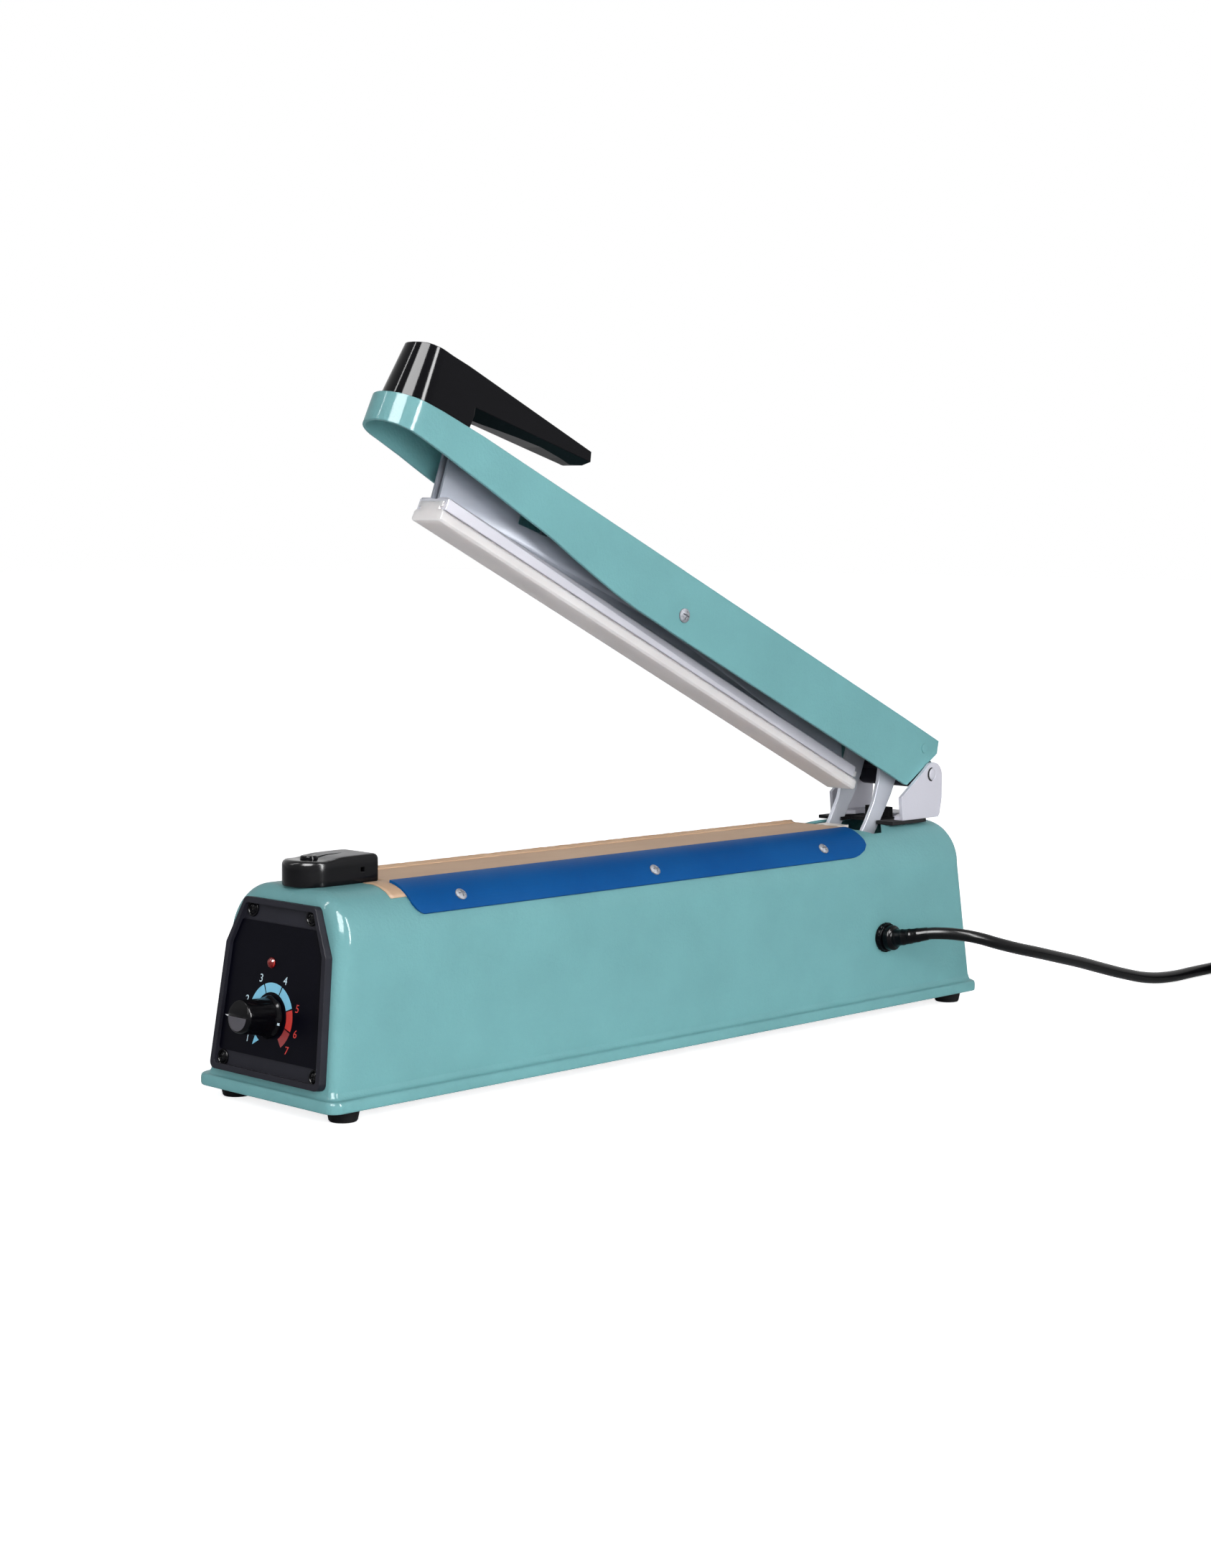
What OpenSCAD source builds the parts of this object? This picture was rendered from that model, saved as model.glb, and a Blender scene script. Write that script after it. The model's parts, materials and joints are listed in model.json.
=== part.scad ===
// Impulse heat sealer: a bench machine whose sprung arm presses a bag on a timed heating band.
// X runs across the machine, Y from the control panel (-Y) to the hinge (+Y), Z up from the table.

/* [Sealing line] */
// Heated length of the sealing line
seal_l = 300; // [200:5:400]
// Width of the sealing bar's face, which lies flush in the deck
bar_w = 24; // [18:1:28]
// Depth of the sealing bar below the deck
bar_h = 12; // [8:1:18]
// Width of the heating band
band_w = 2.5; // [2:0.5:5]
// Thickness of the heating band
band_t = 0.2; // [0.1:0.05:0.4]
// Width of the insulating strip under the heating band
insulator_w = 14; // [10:1:18]
// Thickness of the insulating strip
insulator_t = 0.3; // [0.2:0.1:0.6]
// Thickness of the non-stick cloth
cloth_t = 0.3; // [0.2:0.05:0.5]
// Length of cloth ahead of the heated line
cloth_front = 22; // [18:1:30]
// Length of cloth behind the heated line
cloth_rear = 1; // [0:1:6]

/* [Base housing] */
// Width of the base flange
base_w = 93; // [88:0.5:110]
// Deck ahead of the cloth, under the front of the switch
front_deck = 46; // [44:1:70]
// Deck behind the cloth, which carries the hinge
rear_deck = 76; // [74:1:90]
// Height of the deck above the table
deck_h = 95; // [90:1:115]
// Wall thickness of the housing
wall_t = 1.6; // [1:0.2:2.4]
// Height of the flange's rim
rim_h = 5; // [4:0.5:7]
// Width of the flange outside the side walls
flange_out = 4.5; // [3:0.1:6]
// Corner radius of the flange
flange_r = 6; // [5:0.5:10]
// Corner radius at the foot of the walls
corner_r = 3.5; // [3:0.5:6]
// Lean of each side wall between its foot and its shoulder
side_lean = 3.5; // [1:0.1:5]
// Lean of the rear wall between its foot and its shoulder
rear_lean = 5.5; // [2:0.5:8]
// Radius of the shoulders beside the deck
shoulder_r = 22; // [18:1:24]
// Radius of the front and rear top edges
edge_r = 6; // [5:0.5:10]
// Backward lean of the front face in degrees
face_lean = 7.2; // [4:0.1:10]
// Thickness of the bottom plate
bottom_t = 1.8; // [1:0.2:2.4]

/* [Feet] */
// Height of the feet under the flange
foot_h = 5.4; // [4:0.2:10]
// Diameter of the feet where they meet the bottom plate
foot_d = 14.5; // [12:0.5:18]
// Distance of the feet's centres from the flange's edges
foot_inset = 10.5; // [9:0.5:14]

/* [Control panel] */
// Height of the panel along its face
panel_h = 76; // [70:1:84]
// Width of the panel at its foot
panel_w = 74; // [70:1:80]
// Width of the panel at its top edge
panel_top_w = 49.5; // [40:0.5:56]
// Thickness of the panel from the housing to its rim
panel_t = 3.6; // [3:0.2:6]
// Depth of the recess inside the panel's rim
recess_d = 2.4; // [1:0.2:2.6]
// Width of the rim around the recess
rim_w = 2.6; // [2:0.2:4]
// Height of the timer dial's centre above the panel's foot
dial_v = 26.5; // [24:0.5:32]
// Height of the lamp above the panel's foot
lamp_v = 49.4; // [46:0.5:56]
// Diameter of the lamp's lens
lamp_d = 4.6; // [3:0.2:6]
// Diameter of the knob's skirt
knob_d = 17; // [16:0.5:24]
// Diameter of the knob's front
knob_front_d = 14.4; // [10:0.2:16]
// Length of the knob in front of the label
knob_l = 17.8; // [12:0.2:26]
// Diameter of the potentiometer's shaft
shaft_d = 6; // [4:0.5:6.5]

/* [Switch] */
// Length of the switch housing on the deck
switch_l = 39.5; // [34:0.5:46]
// Width of the switch housing
switch_w = 22; // [19:1:26]
// Height of the switch housing
switch_h = 10.8; // [10:0.2:14]
// Diameter of the switch button
button_d = 6; // [4:0.5:8]
// Travel of the switch button
button_travel = 1.5; // [0.5:0.1:1.8]

/* [Clamp strips] */
// Length of each clamp strip
strip_l = 309; // [302:1:314]
// Thickness of each clamp strip
strip_t = 1.2; // [0.8:0.1:2]
// Angle of each strip's lower edge round the shoulder, in degrees
strip_low_a = 26; // [18:1:34]
// Angle of each strip's upper edge round the shoulder, in degrees
strip_high_a = 83; // [76:1:86]

/* [Hinge and arm] */
// Height of the hinge pin above the deck
hinge_h = 24.7; // [24:0.1:30]
// Distance of the hinge pin from the flange's rear end
hinge_back = 15.3; // [14:0.1:20]
// Diameter of the hinge pin
pin_d = 6; // [4:0.5:7]
// Radial clearance of the hinge pin in its block
run_c = 0.05; // [0.02:0.01:0.1]
// Thickness of the hinge bracket's steel
bracket_t = 2; // [1.5:0.1:2.5]
// Width between the outsides of the bracket's ears
bracket_w = 48.6; // [46:0.2:52]
// Clearance on each side between the arm and the ears
ear_gap = 0.6; // [0.3:0.1:1.2]
// Wall thickness of the arm
arm_t = 1.5; // [1:0.1:2]
// Height of the arm's top above the hinge pin
arm_top = 19; // [17:0.1:22]
// Depth of the arm's side walls behind its waist
arm_depth = 31.3; // [28:0.1:32]
// Width of the arm at its round nose
nose_w = 30.4; // [28:0.2:36]
// Distance of the arm's nose behind the flange's front end
nose_back = 22.5; // [20:0.5:30]
// Opening angle of the arm in degrees
open_a = 24.9; // [15:0.1:35]
// Degrees that the press bar hangs off level while the arm is open
hang_a = 0.4; // [0.2:0.1:1]
// Thickness of the two lifting blades
blade_t = 2; // [1.5:0.1:2.5]
// Distance of each lifting blade's centre from the machine's middle
blade_x = 12; // [11:0.2:14]

/* [Press bar] */
// Length of the pressing strip beyond the heated line
press_over = 21; // [16:1:26]
// Width of the pressing strip
press_w = 19; // [16:1:21]
// Height of the rubber below its holder
rubber_h = 5.6; // [4:0.2:7]
// Height of the holder above the rubber
holder_h = 6; // [5.5:0.5:8]
// Width of the upright web inside the arm
web_w = 6; // [5:0.5:12]
// Thickness of the web's walls
web_t = 1.4; // [1:0.1:2]
// Clearance between the rubber and the cloth when the arm is down
press_c = 0.3; // [0.2:0.1:0.6]

/* [Handle] */
// Width of the handle
handle_w = 28; // [24:1:34]
// Length of the handle
handle_l = 111; // [96:1:120]
// Height of the handle's top above the arm
handle_h = 28; // [24:0.5:32]

/* [Mains lead] */
// Diameter of the mains lead
cord_d = 6.2; // [6:0.2:8]
// Height of the cord gland above the table
gland_z = 40.8; // [38:0.2:48]
// Distance of the cord gland from the flange's rear end
gland_back = 74.3; // [72:0.1:90]
// Diameter of the cord gland's head
gland_d = 14.2; // [13:0.2:20]

/* [Hidden] */
$fn = 48;
fit = 0.1;       // play of plain holes and seats
small_gap = 0.3; // play between moving pieces
soft_fn = 32;

// Levels
foot_z = foot_h + rim_h;
shoulder_z = deck_h - shoulder_r;
floor_z = foot_h + bottom_t;

// Front face: a plane that leans back by face_lean
panel_foot_z = foot_z + 3.6;
lean_s = sin(face_lean);
lean_c = cos(face_lean);
face_lip = 4.1;  // flange left in front of the housing's face

// Knob tip, measured from the flange's front end, which sets the middle of the whole machine
label_t = 0.6;
label_back = recess_d - label_t; // label's face behind the rim's front
knob_out = knob_l - label_back;
panel_out = panel_t / lean_c - face_lip; // panel's foot in front of the flange
knob_tip = panel_out + knob_out * lean_c - (dial_v - knob_front_d / 2) * lean_s;
mid_y = knob_tip / 2;

// Lengths along the machine
cloth_l = cloth_front + seal_l + cloth_rear;
press_l = seal_l + press_over;
base_l = front_deck + cloth_l + rear_deck;
front_y = mid_y - base_l / 2;
rear_y = mid_y + base_l / 2;
cloth_y = front_y + front_deck;
seal_y = cloth_y + cloth_front;
slot_y = cloth_y + cloth_l;
panel_y = front_y - panel_out;

// Housing
body_w = base_w - 2 * flange_out;
shoulder_x = body_w / 2 - side_lean - shoulder_r;
rear_out = 1.5;
rear_shoulder = rear_y - rear_out - rear_lean;
boss_r = 4.6;

function face_y(z, back = 0) = panel_y + (z - panel_foot_z) * tan(face_lean) + back / lean_c;
body_back = panel_t; // the housing's face lies behind the panel's thickness

// Screws
m3_r = 1.5;
m4_r = 2;
head_r = 2.9;
head_h = 1.7;

// Hinge
hinge_y = rear_y - hinge_back;
hinge_z = deck_h + hinge_h;
ear_in = bracket_w / 2 - bracket_t;
arm_w = 2 * (ear_in - ear_gap);
gasket_t = 1.8;
plate_z = deck_h + gasket_t;
ear_r = 7.6;

// Arm, in its closed place
arm_top_z = hinge_z + arm_top;
arm_low_z = arm_top_z - arm_depth;
nose_y = front_y + nose_back;
nose_r = nose_w / 2;
arm_in_z = arm_top_z - arm_t;

// Press bar, in its closed place
rubber_z = deck_h + cloth_t + press_c;
holder_z = rubber_z + rubber_h;
web_z = holder_z + holder_h;
web_top_z = arm_in_z - 8.5;
press_y = seal_y + 1;
rock_y = press_y + 153 / 321 * press_l;
rock_z = hinge_z - 0.5;
rock_r = 2;
rock_play = 0.9;  // rise of the web before it meets a spring

// Switch
switch_front = 15;
switch_y = front_y + switch_front;
bar_y = switch_y + switch_l + 0.5;
bar_l = slot_y - bar_y;
button_y = switch_y + 11;
button_up = 2;
button_x = 0;

// Sealing bar and cloth
line_z = deck_h - insulator_t - band_t; // bottom of the groove that the heating band lies in
ledge_w = 2.5;

// ---------- shared shapes ----------

// Flat plate with round corners, standing on z = 0
module round_plate(l, w, h, r) {
    translate([-w / 2 + r, -l / 2, 0]) cube([w - 2 * r, l, h]);
    translate([-w / 2, -l / 2 + r, 0]) cube([w, l - 2 * r, h]);
    for (x = [-1, 1], y = [-1, 1])
        translate([x * (w / 2 - r), y * (l / 2 - r), 0]) cylinder(r = r, h = h);
}

// Pan-head screw: shank down from z = 0, head above it with a cross recess
module pan_screw(r, len, hr = head_r, hh = head_h) {
    difference() {
        union() {
            translate([0, 0, -len]) cylinder(r = r, h = len);
            intersection() {
                cylinder(r = hr, h = hh);
                translate([0, 0, hh - hr * 1.6]) sphere(r = hr * 1.6);
            }
        }
        for (a = [0, 90])
            rotate([0, 0, a]) translate([-hr * 0.6, -0.35, hh * 0.45]) cube([hr * 1.2, 0.7, hh]);
    }
}

// Shape drawn in the side view (Y to the right, Z up), given a width along X
module along_x(x0, w) {
    translate([x0, 0, 0]) rotate([90, 0, 90]) linear_extrude(height = w) children();
}

// Shape drawn in the front view (X to the right, Z up), given a length along Y
module along_y(y0, l) {
    translate([0, y0 + l, 0]) rotate([90, 0, 0]) linear_extrude(height = l) children();
}

// Points of an arc in degrees
function arc(cx, cy, r, a0, a1, n = 12) =
    [for (i = [0:n]) let (a = a0 + (a1 - a0) * i / n) [cx + r * cos(a), cy + r * sin(a)]];

// Puts a shape that is drawn on the panel (X across, Y up its face, Z out of it) on the panel
module on_panel(out = 0) {
    translate([0, panel_y, panel_foot_z]) rotate([90 - face_lean, 0, 0])
        translate([0, 0, out]) children();
}

// Carries the arm's closed shapes to their place at the open stop
module opened() {
    translate([0, hinge_y, hinge_z]) rotate([-open_a, 0, 0])
        translate([0, -hinge_y, -hinge_z]) children();
}

// Carries the press bar's closed shapes to the open stop, tilted on the rocking screw
module hung() {
    opened() translate([0, rock_y, rock_z]) rotate([-hang_a, 0, 0])
        translate([0, -rock_y, -rock_z]) children();
}

// ---------- base ----------

// The housing's outer form, drawn in by g
module body_form(g) {
    y0 = face_y(foot_z, body_back);
    turn = shoulder_r - edge_r;
    hull() for (s = [-1, 1]) {
        for (y = [y0 + corner_r + 0.08, rear_y - rear_out - corner_r])
            translate([s * (body_w / 2 - corner_r), y, foot_z])
                cylinder(r = corner_r - g, h = 0.5, $fn = soft_fn);
        for (a = [0:18:90]) {
            x = s * (shoulder_x + turn * cos(a));
            z = shoulder_z + turn * sin(a);
            translate([x, face_y(z, body_back + edge_r), z])
                sphere(r = edge_r - g, $fn = soft_fn);
            translate([x, rear_shoulder - edge_r, z]) sphere(r = edge_r - g, $fn = soft_fn);
        }
    }
}

// Plan of the slot that the lifting blades pass through
module slot_plan() {
    right = [[21, 0], [27, 8], [27, 15], [17 , 27], [17, slot_l]];
    polygon([for (s = [1, -1], i = [0:4]) let (p = right[s > 0 ? i : 4 - i])
        [s * p[0], slot_y + p[1]]]);
}
slot_l = 48;

gland_y = rear_y - gland_back;
wall_x = body_w / 2 - side_lean * (gland_z - foot_z) / (shoulder_z - foot_z);
foot_x = base_w / 2 - foot_inset;
foot_y = base_l / 2 - foot_inset - 4;
strip_screw_a = 42.5;
strip_screw_front = 28.3;
strip_y = bar_y - 0.3;
strip_pitch = (strip_l - 63) / 2;

module foot_places() {
    for (x = [-1, 1], y = [-1, 1]) translate([x * foot_x, mid_y + y * foot_y, 0]) children();
}

// Places of the clamp strips' screws on one side, with Z along the screw
module strip_screw_places(side, r) {
    for (i = [0:2])
        translate([side * shoulder_x, strip_y + strip_screw_front + i * strip_pitch, shoulder_z])
            rotate([0, side * (90 - strip_screw_a), 0]) translate([0, 0, r]) children();
}

plate_screw_y = base_l / 2 - 60;
module plate_screw_places() {
    for (x = [-1, 1], y = [-1, 0, 1])
        translate([x * (body_w / 2 - 4.6), mid_y + y * plate_screw_y, 0]) children();
}

panel_screw_at = [[panel_top_w / 2 - 5, panel_h - 5], [panel_w / 2 - 6, 5.2]];
module panel_screw_places(out) {
    for (s = [-1, 1], p = panel_screw_at) on_panel(out) translate([s * p[0], p[1], 0]) children();
}

bracket_screw_y = hinge_y - 3;
bracket_screw_x = 14;
switch_screw_at = [[-7, switch_y + 12], [7, switch_y + 12], [0, switch_y + switch_l - 6.5]];

module base_housing() {
    color("#7fb0b3") difference() {
        union() {
            body_form(0);
            // flange with its rolled edge
            for (e = [[0, 1, 1.2], [1, 3, 0], [4, rim_h - 4, 1]])
                translate([0, mid_y, foot_h + e[0]])
                    round_plate(base_l - 2 * e[2], base_w - 2 * e[2], e[1], flange_r - e[2]);
            // fillet between flange and walls
            hull() {
                translate([0, (face_y(foot_z, body_back) + rear_y - rear_out) / 2, foot_z])
                    round_plate(rear_y - rear_out - face_y(foot_z, body_back) + 3, body_w + 4.4,
                        0.3, corner_r + 1.5);
                translate([0, (face_y(foot_z, body_back) + rear_y - rear_out) / 2, foot_z + 2.8])
                    round_plate(rear_y - rear_out - face_y(foot_z, body_back) - 1.4, body_w - 0.2,
                        0.3, corner_r);
            }
        }
        difference() {
            union() {
                body_form(wall_t);
                translate([0, mid_y, floor_z])
                    round_plate(base_l - 15, body_w - 2 * wall_t, foot_z - floor_z + 1, corner_r);
            }
            // bosses for the feet and the bottom plate
            foot_places() translate([0, 0, floor_z]) cylinder(r = boss_r, h = 14);
            plate_screw_places() translate([0, 0, floor_z]) cylinder(r = 3.4, h = 12);
        }
        // seat of the bottom plate
        translate([0, mid_y, foot_h - 1])
            round_plate(base_l - 2 * plate_in + 2 * fit, base_w - 2 * plate_in + 2 * fit,
                bottom_t + 1, flange_r - plate_in);
        foot_places() cylinder(r = m4_r - fit, h = 22);
        plate_screw_places() cylinder(r = m3_r - fit, h = 18);
        // opening for the sealing bar
        translate([-bar_w / 2 - fit, bar_y - fit, deck_h - 5])
            cube([bar_w + 2 * fit, bar_l + 2 * fit, 10]);
        // slot for the lifting blades
        translate([0, 0, deck_h - 12]) linear_extrude(height = 20) slot_plan();
        // window behind the control panel
        on_panel(-panel_t - 6) translate([-23, dial_v - 14, 0]) cube([46, lamp_v - dial_v + 20, 8]);
        panel_screw_places(-panel_t - 10) cylinder(r = m3_r - fit, h = 12);
        // switch leads and screws
        translate([-5, button_y - 2, deck_h - 4]) cube([10, 14, 8]);
        for (p = switch_screw_at) translate([p[0], p[1], deck_h - 5]) cylinder(r = m3_r - fit, h = 8);
        for (x = [-1, 1]) translate([x * bracket_screw_x, bracket_screw_y, deck_h - 5])
            cylinder(r = m4_r + fit, h = 8);
        for (s = [-1, 1]) strip_screw_places(s, shoulder_r - 5) cylinder(r = m3_r - fit, h = 8);
        // cord gland's hole
        translate([0, gland_y, gland_z]) rotate([0, 90, 0]) cylinder(r = gland_hole_r, h = base_w);
    }
}
plate_in = 3;
gland_hole_r = gland_d / 2 - 1.8;

module bottom_plate() {
    color("#a9adb0") difference() {
        translate([0, mid_y, foot_h]) round_plate(base_l - 2 * plate_in, base_w - 2 * plate_in,
            bottom_t, flange_r - plate_in);
        foot_places() cylinder(r = m4_r + fit, h = 20);
        plate_screw_places() cylinder(r = m3_r + fit, h = 20);
        // ventilation slots under the transformer
        for (i = [-4:4]) translate([-18, core_y + i * 8 - 1.5, 0]) cube([36, 3, 20]);
        for (x = [-1, 1], y = [-1, 1])
            translate([x * board_hole_x, board_y + y * board_hole_y, 0]) cylinder(r = m3_r, h = 20);
        for (y = [-1, 1]) translate([0, core_y + y * bracket_hole_y, 0]) cylinder(r = m4_r, h = 20);
    }
}

module plate_screws() {
    color("#c9ccd0") plate_screw_places() translate([0, 0, foot_h]) rotate([180, 0, 0])
        pan_screw(m3_r - fit - 0.03, 10);
}

module rubber_feet() {
    color("#1d1d1f") foot_places() rotate_extrude() polygon([
        [foot_bore, 0], [foot_d / 2 - 1.4, 0], [foot_d / 2 - 1, 0.6], [foot_d / 2, foot_h],
        [m4_r + fit, foot_h], [m4_r + fit, 2.9], [foot_bore, 2.9]]);
}
foot_bore = 4;

module foot_screws() {
    color("#c9ccd0") foot_places() translate([0, 0, 2.8]) rotate([180, 0, 0])
        pan_screw(m4_r - fit - 0.03, 15, 3.6, 2.2);
}

// ---------- control panel ----------

// Panel outline, drawn in by g: upright lower sides, then a taper to the top edge
kink_v = 55.5;
kink_w = 67;
module panel_outline(g, v0 = 0, v1 = 0) {
    r = 3.2 - min(g, 2) * 0.8;
    low = v0 + g;
    high = (v1 > 0 ? v1 : panel_h) - g;
    function half_w(v) = v < kink_v
        ? (panel_w + (kink_w - panel_w) * v / kink_v) / 2 - g
        : (kink_w + (panel_top_w - kink_w) * (v - kink_v) / (panel_h - kink_v)) / 2 - g;
    right = concat(arc(half_w(low) - r, low + r, r, -90, 0, 5),
        [[half_w(kink_v), kink_v]],
        arc(half_w(high) - r, high - r, r, 15, 90, 5));
    polygon(concat(right, [for (i = [len(right) - 1:-1:0]) [-right[i][0], right[i][1]]]));
}

module control_panel() {
    color("#26262b") difference() {
        on_panel(-panel_t) linear_extrude(height = panel_t) panel_outline(0);
        on_panel(-recess_d) linear_extrude(height = recess_d + 1) panel_outline(rim_w);
        // holes for the potentiometer's bush, the lamp and the screws
        on_panel(-panel_t - 1) translate([dial_x, dial_v, 0]) cylinder(r = bush_r + fit, h = 8);
        on_panel(-panel_t - 1) translate([lamp_x, lamp_v, 0]) cylinder(r = lamp_d / 2 + fit, h = 8);
        panel_screw_places(-panel_t - 1) cylinder(r = m3_r + fit, h = 8);
    }
}
label_low = 8.7;
label_high = 66.2;
bush_r = shaft_d / 2 + 1.2;
dial_x = -1;   // the dial and the lamp sit a little left of the middle
lamp_x = -3.5;

module dial_label() {
    color("#14141a") difference() {
        on_panel(-recess_d + 0.01) linear_extrude(height = label_t)
            panel_outline(rim_w + fit, label_low - rim_w, label_high + rim_w);
        on_panel(-panel_t) translate([dial_x, dial_v, 0]) cylinder(r = bush_r + fit, h = 8);
        on_panel(-panel_t) translate([lamp_x, lamp_v, 0]) cylinder(r = lamp_d / 2 + fit, h = 8);
    }
}

module panel_screws() {
    color("#18181a") panel_screw_places(-recess_d) pan_screw(m3_r - fit - 0.03, 8, 2.3, 1.3);
}

knob_gap = 0.5;
knob_bore_l = knob_l * 0.62;
module timer_knob() {
    k0 = knob_gap;
    color("#121214") on_panel(-label_back) translate([dial_x, dial_v, 0]) difference() {
        union() {
            rotate_extrude() polygon(concat(
                [[0, k0], [knob_d / 2 - 0.4, k0], [knob_d / 2, k0 + 0.5], [knob_d / 2, k0 + 2],
                 [knob_front_d / 2 + 1.2, k0 + 4.6], [knob_front_d / 2, knob_l - 0.8]],
                [[knob_front_d / 2 - 0.8, knob_l], [0, knob_l]]));
            // ribs of the grip
            for (a = [0:30:330]) rotate([0, 0, a])
                translate([-0.6, knob_front_d / 2 - 0.6, k0 + 3]) cube([1.2, 1.2, knob_l - k0 - 5]);
        }
        translate([0, 0, -1]) cylinder(r = shaft_d / 2, h = knob_bore_l + 1);
        translate([0, 0, -1]) cylinder(r = nut_r + small_gap + 0.4, h = nut_h + 1 + small_gap);
    }
}
nut_r = bush_r + 1.8;
nut_h = 2;

module potentiometer() {
    color("#8a8d90") on_panel(-panel_t) translate([dial_x, dial_v, 0]) difference() {
        union() {
            translate([0, 0, -14]) cylinder(r = 10, h = 13.9);
            cylinder(r = bush_r, h = panel_t - label_back + nut_h);
            translate([0, 0, panel_t - label_back + 0.02])
                cylinder(r = nut_r, h = nut_h - 0.1, $fn = 6);
            for (x = [-1, 0, 1]) translate([x * 4 - 1, -15, -9]) cube([2, 6, 0.6]);
        }
        translate([0, 0, -9]) cylinder(r = shaft_d / 2 + run_c, h = 30);
    }
}

module potentiometer_shaft() {
    color("#b9bcc0") on_panel(-panel_t - 8.5) translate([dial_x, dial_v, 0])
        cylinder(r = shaft_d / 2, h = 8.5 + panel_t - label_back + knob_bore_l - 0.4);
}

module lamp_lens() {
    color("#c8201c") on_panel(-panel_t - 5) translate([lamp_x, lamp_v, 0]) {
        cylinder(r = lamp_d / 2, h = panel_t + 5 - label_back + 0.4);
        translate([0, 0, panel_t + 5 - label_back + 0.4]) intersection() {
            translate([0, 0, -lamp_d / 4]) sphere(r = lamp_d / 1.8);
            cylinder(r = lamp_d / 2, h = lamp_d);
        }
    }
}

// ---------- timer board, on pillars on the bottom plate ----------

board_l = 74;
board_w = 58;
board_t = 1.6;
pillar_h = 8;
board_y = front_y + 64;
board_z = floor_z + pillar_h;
board_hole_x = board_w / 2 - 4;
board_hole_y = board_l / 2 - 4;

module board_holes() {
    for (x = [-1, 1], y = [-1, 1])
        translate([x * board_hole_x, board_y + y * board_hole_y, board_z - 1])
            cylinder(r = m3_r + fit, h = 5);
}

module timer_board() {
    color("#2f6b3c") difference() {
        translate([-board_w / 2, board_y - board_l / 2, board_z]) cube([board_w, board_l, board_t]);
        board_holes();
    }
}

module board_parts() {
    top = board_z + board_t;
    color("#3a4a8c") {
        // relay, terminal block, heat sink and capacitors
        translate([-22, board_y - 8, top]) cube([18, 22, 15]);
        translate([-20, board_y + 18, top]) cube([34, 8, 10]);
        translate([4, board_y - 14, top]) cube([18, 4, 20]);
        for (i = [0:2]) translate([8 + i * 6, board_y + 4, top]) cylinder(r = 2.6, h = 9);
        translate([16, board_y - 24, top]) cylinder(r = 5, h = 14);
        translate([-14, board_y - 24, top]) cube([14, 8, 6]);
    }
}

module board_pillars() {
    color("#c9ccd0") for (x = [-1, 1], y = [-1, 1])
        translate([x * board_hole_x, board_y + y * board_hole_y, floor_z]) {
            difference() {
                cylinder(r = 3, h = pillar_h, $fn = 6);
                translate([0, 0, pillar_h - 6]) cylinder(r = m3_r, h = 7);
            }
            translate([0, 0, pillar_h + board_t]) pan_screw(m3_r - 0.03, board_t + 4);
            rotate([180, 0, 0]) translate([0, 0, bottom_t]) pan_screw(m3_r - 0.03, bottom_t, 2.7, 1.2);
        }
}

// ---------- switch on the front deck ----------

module switch_form(g) {
    r = switch_w / 2 - g;
    y0 = switch_y + switch_w / 2;
    h = switch_h - g;
    hull() {
        translate([0, y0, 0.6]) cylinder(r = r - 1, h = 0.1, $fn = soft_fn);
        translate([0, y0, 2]) cylinder(r = r, h = h - 4.2, $fn = soft_fn);
        translate([0, y0, h - 2]) cylinder(r = r - 0.7, h = 1.2, $fn = soft_fn);
        translate([0, y0, h - 0.1]) cylinder(r = r - 2, h = 0.1, $fn = soft_fn);
        translate([-r, y0, 0]) cube([2 * r, switch_y + switch_l - g - y0, h - 2.2]);
        translate([-r + 0.7, y0, 0]) cube([2 * r - 1.4, switch_y + switch_l - g - y0, h - 0.7]);
        translate([-r + 2, y0, 0]) cube([2 * r - 4, switch_y + switch_l - g - y0 - 2, h]);
    }
}

module switch_housing() {
    color("#222226") translate([0, 0, deck_h]) difference() {
        switch_form(0);
        translate([0, 0, -0.01]) intersection() {
            switch_form(1.8);
            translate([-20, switch_y, 0]) cube([40, switch_l, switch_h - 2.2]);
        }
        translate([button_x, button_y, 0]) cylinder(r = button_d / 2 + 0.25, h = 30);
        translate([switch_w / 2 - 3, switch_y + 29, 4.6]) cube([5, 2.2, 2.2]);
    }
    color("#222226") for (p = switch_screw_at) translate([p[0], p[1], deck_h]) difference() {
        cylinder(r = 2.6, h = switch_h - 2);
        translate([0, 0, -1]) cylinder(r = m3_r - fit, h = 8);
    }
}

module switch_screws() {
    color("#c9ccd0") for (p = switch_screw_at) translate([p[0], p[1], deck_h - wall_t - 0.03])
        rotate([180, 0, 0]) pan_screw(m3_r - fit - 0.03, 6);
}

button_len = 5.6;
module switch_button() {
    color("#0d0d0f") translate([button_x, button_y, deck_h + switch_h + button_up - button_len]) {
        cylinder(r = button_d / 2, h = button_len - 0.5);
        cylinder(r = button_d / 2 - 0.5, h = button_len);
        // collar that keeps the button in its housing
        cylinder(r = button_d / 2 + 0.8, h = 1);
    }
}
collar_z = switch_h + button_up - button_len;

micro_h = 3.4;
spring_r = 2.2;
module microswitch() {
    color("#2c2c30") translate([0, 0, deck_h]) {
        translate([-5.5, button_y + 5, 0]) cube([11, 14, micro_h]);
        // shelf under the button
        translate([-3, button_y - 2.6, 0]) cube([6, 8, micro_h]);
    }
}

module button_spring() {
    color("#d0d2d5") translate([button_x, button_y, deck_h + micro_h]) difference() {
        cylinder(r = spring_r, h = collar_z - micro_h);
        translate([0, 0, -1]) cylinder(r = spring_r - 0.5, h = 20);
    }
}

// ---------- sealing line ----------

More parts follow.
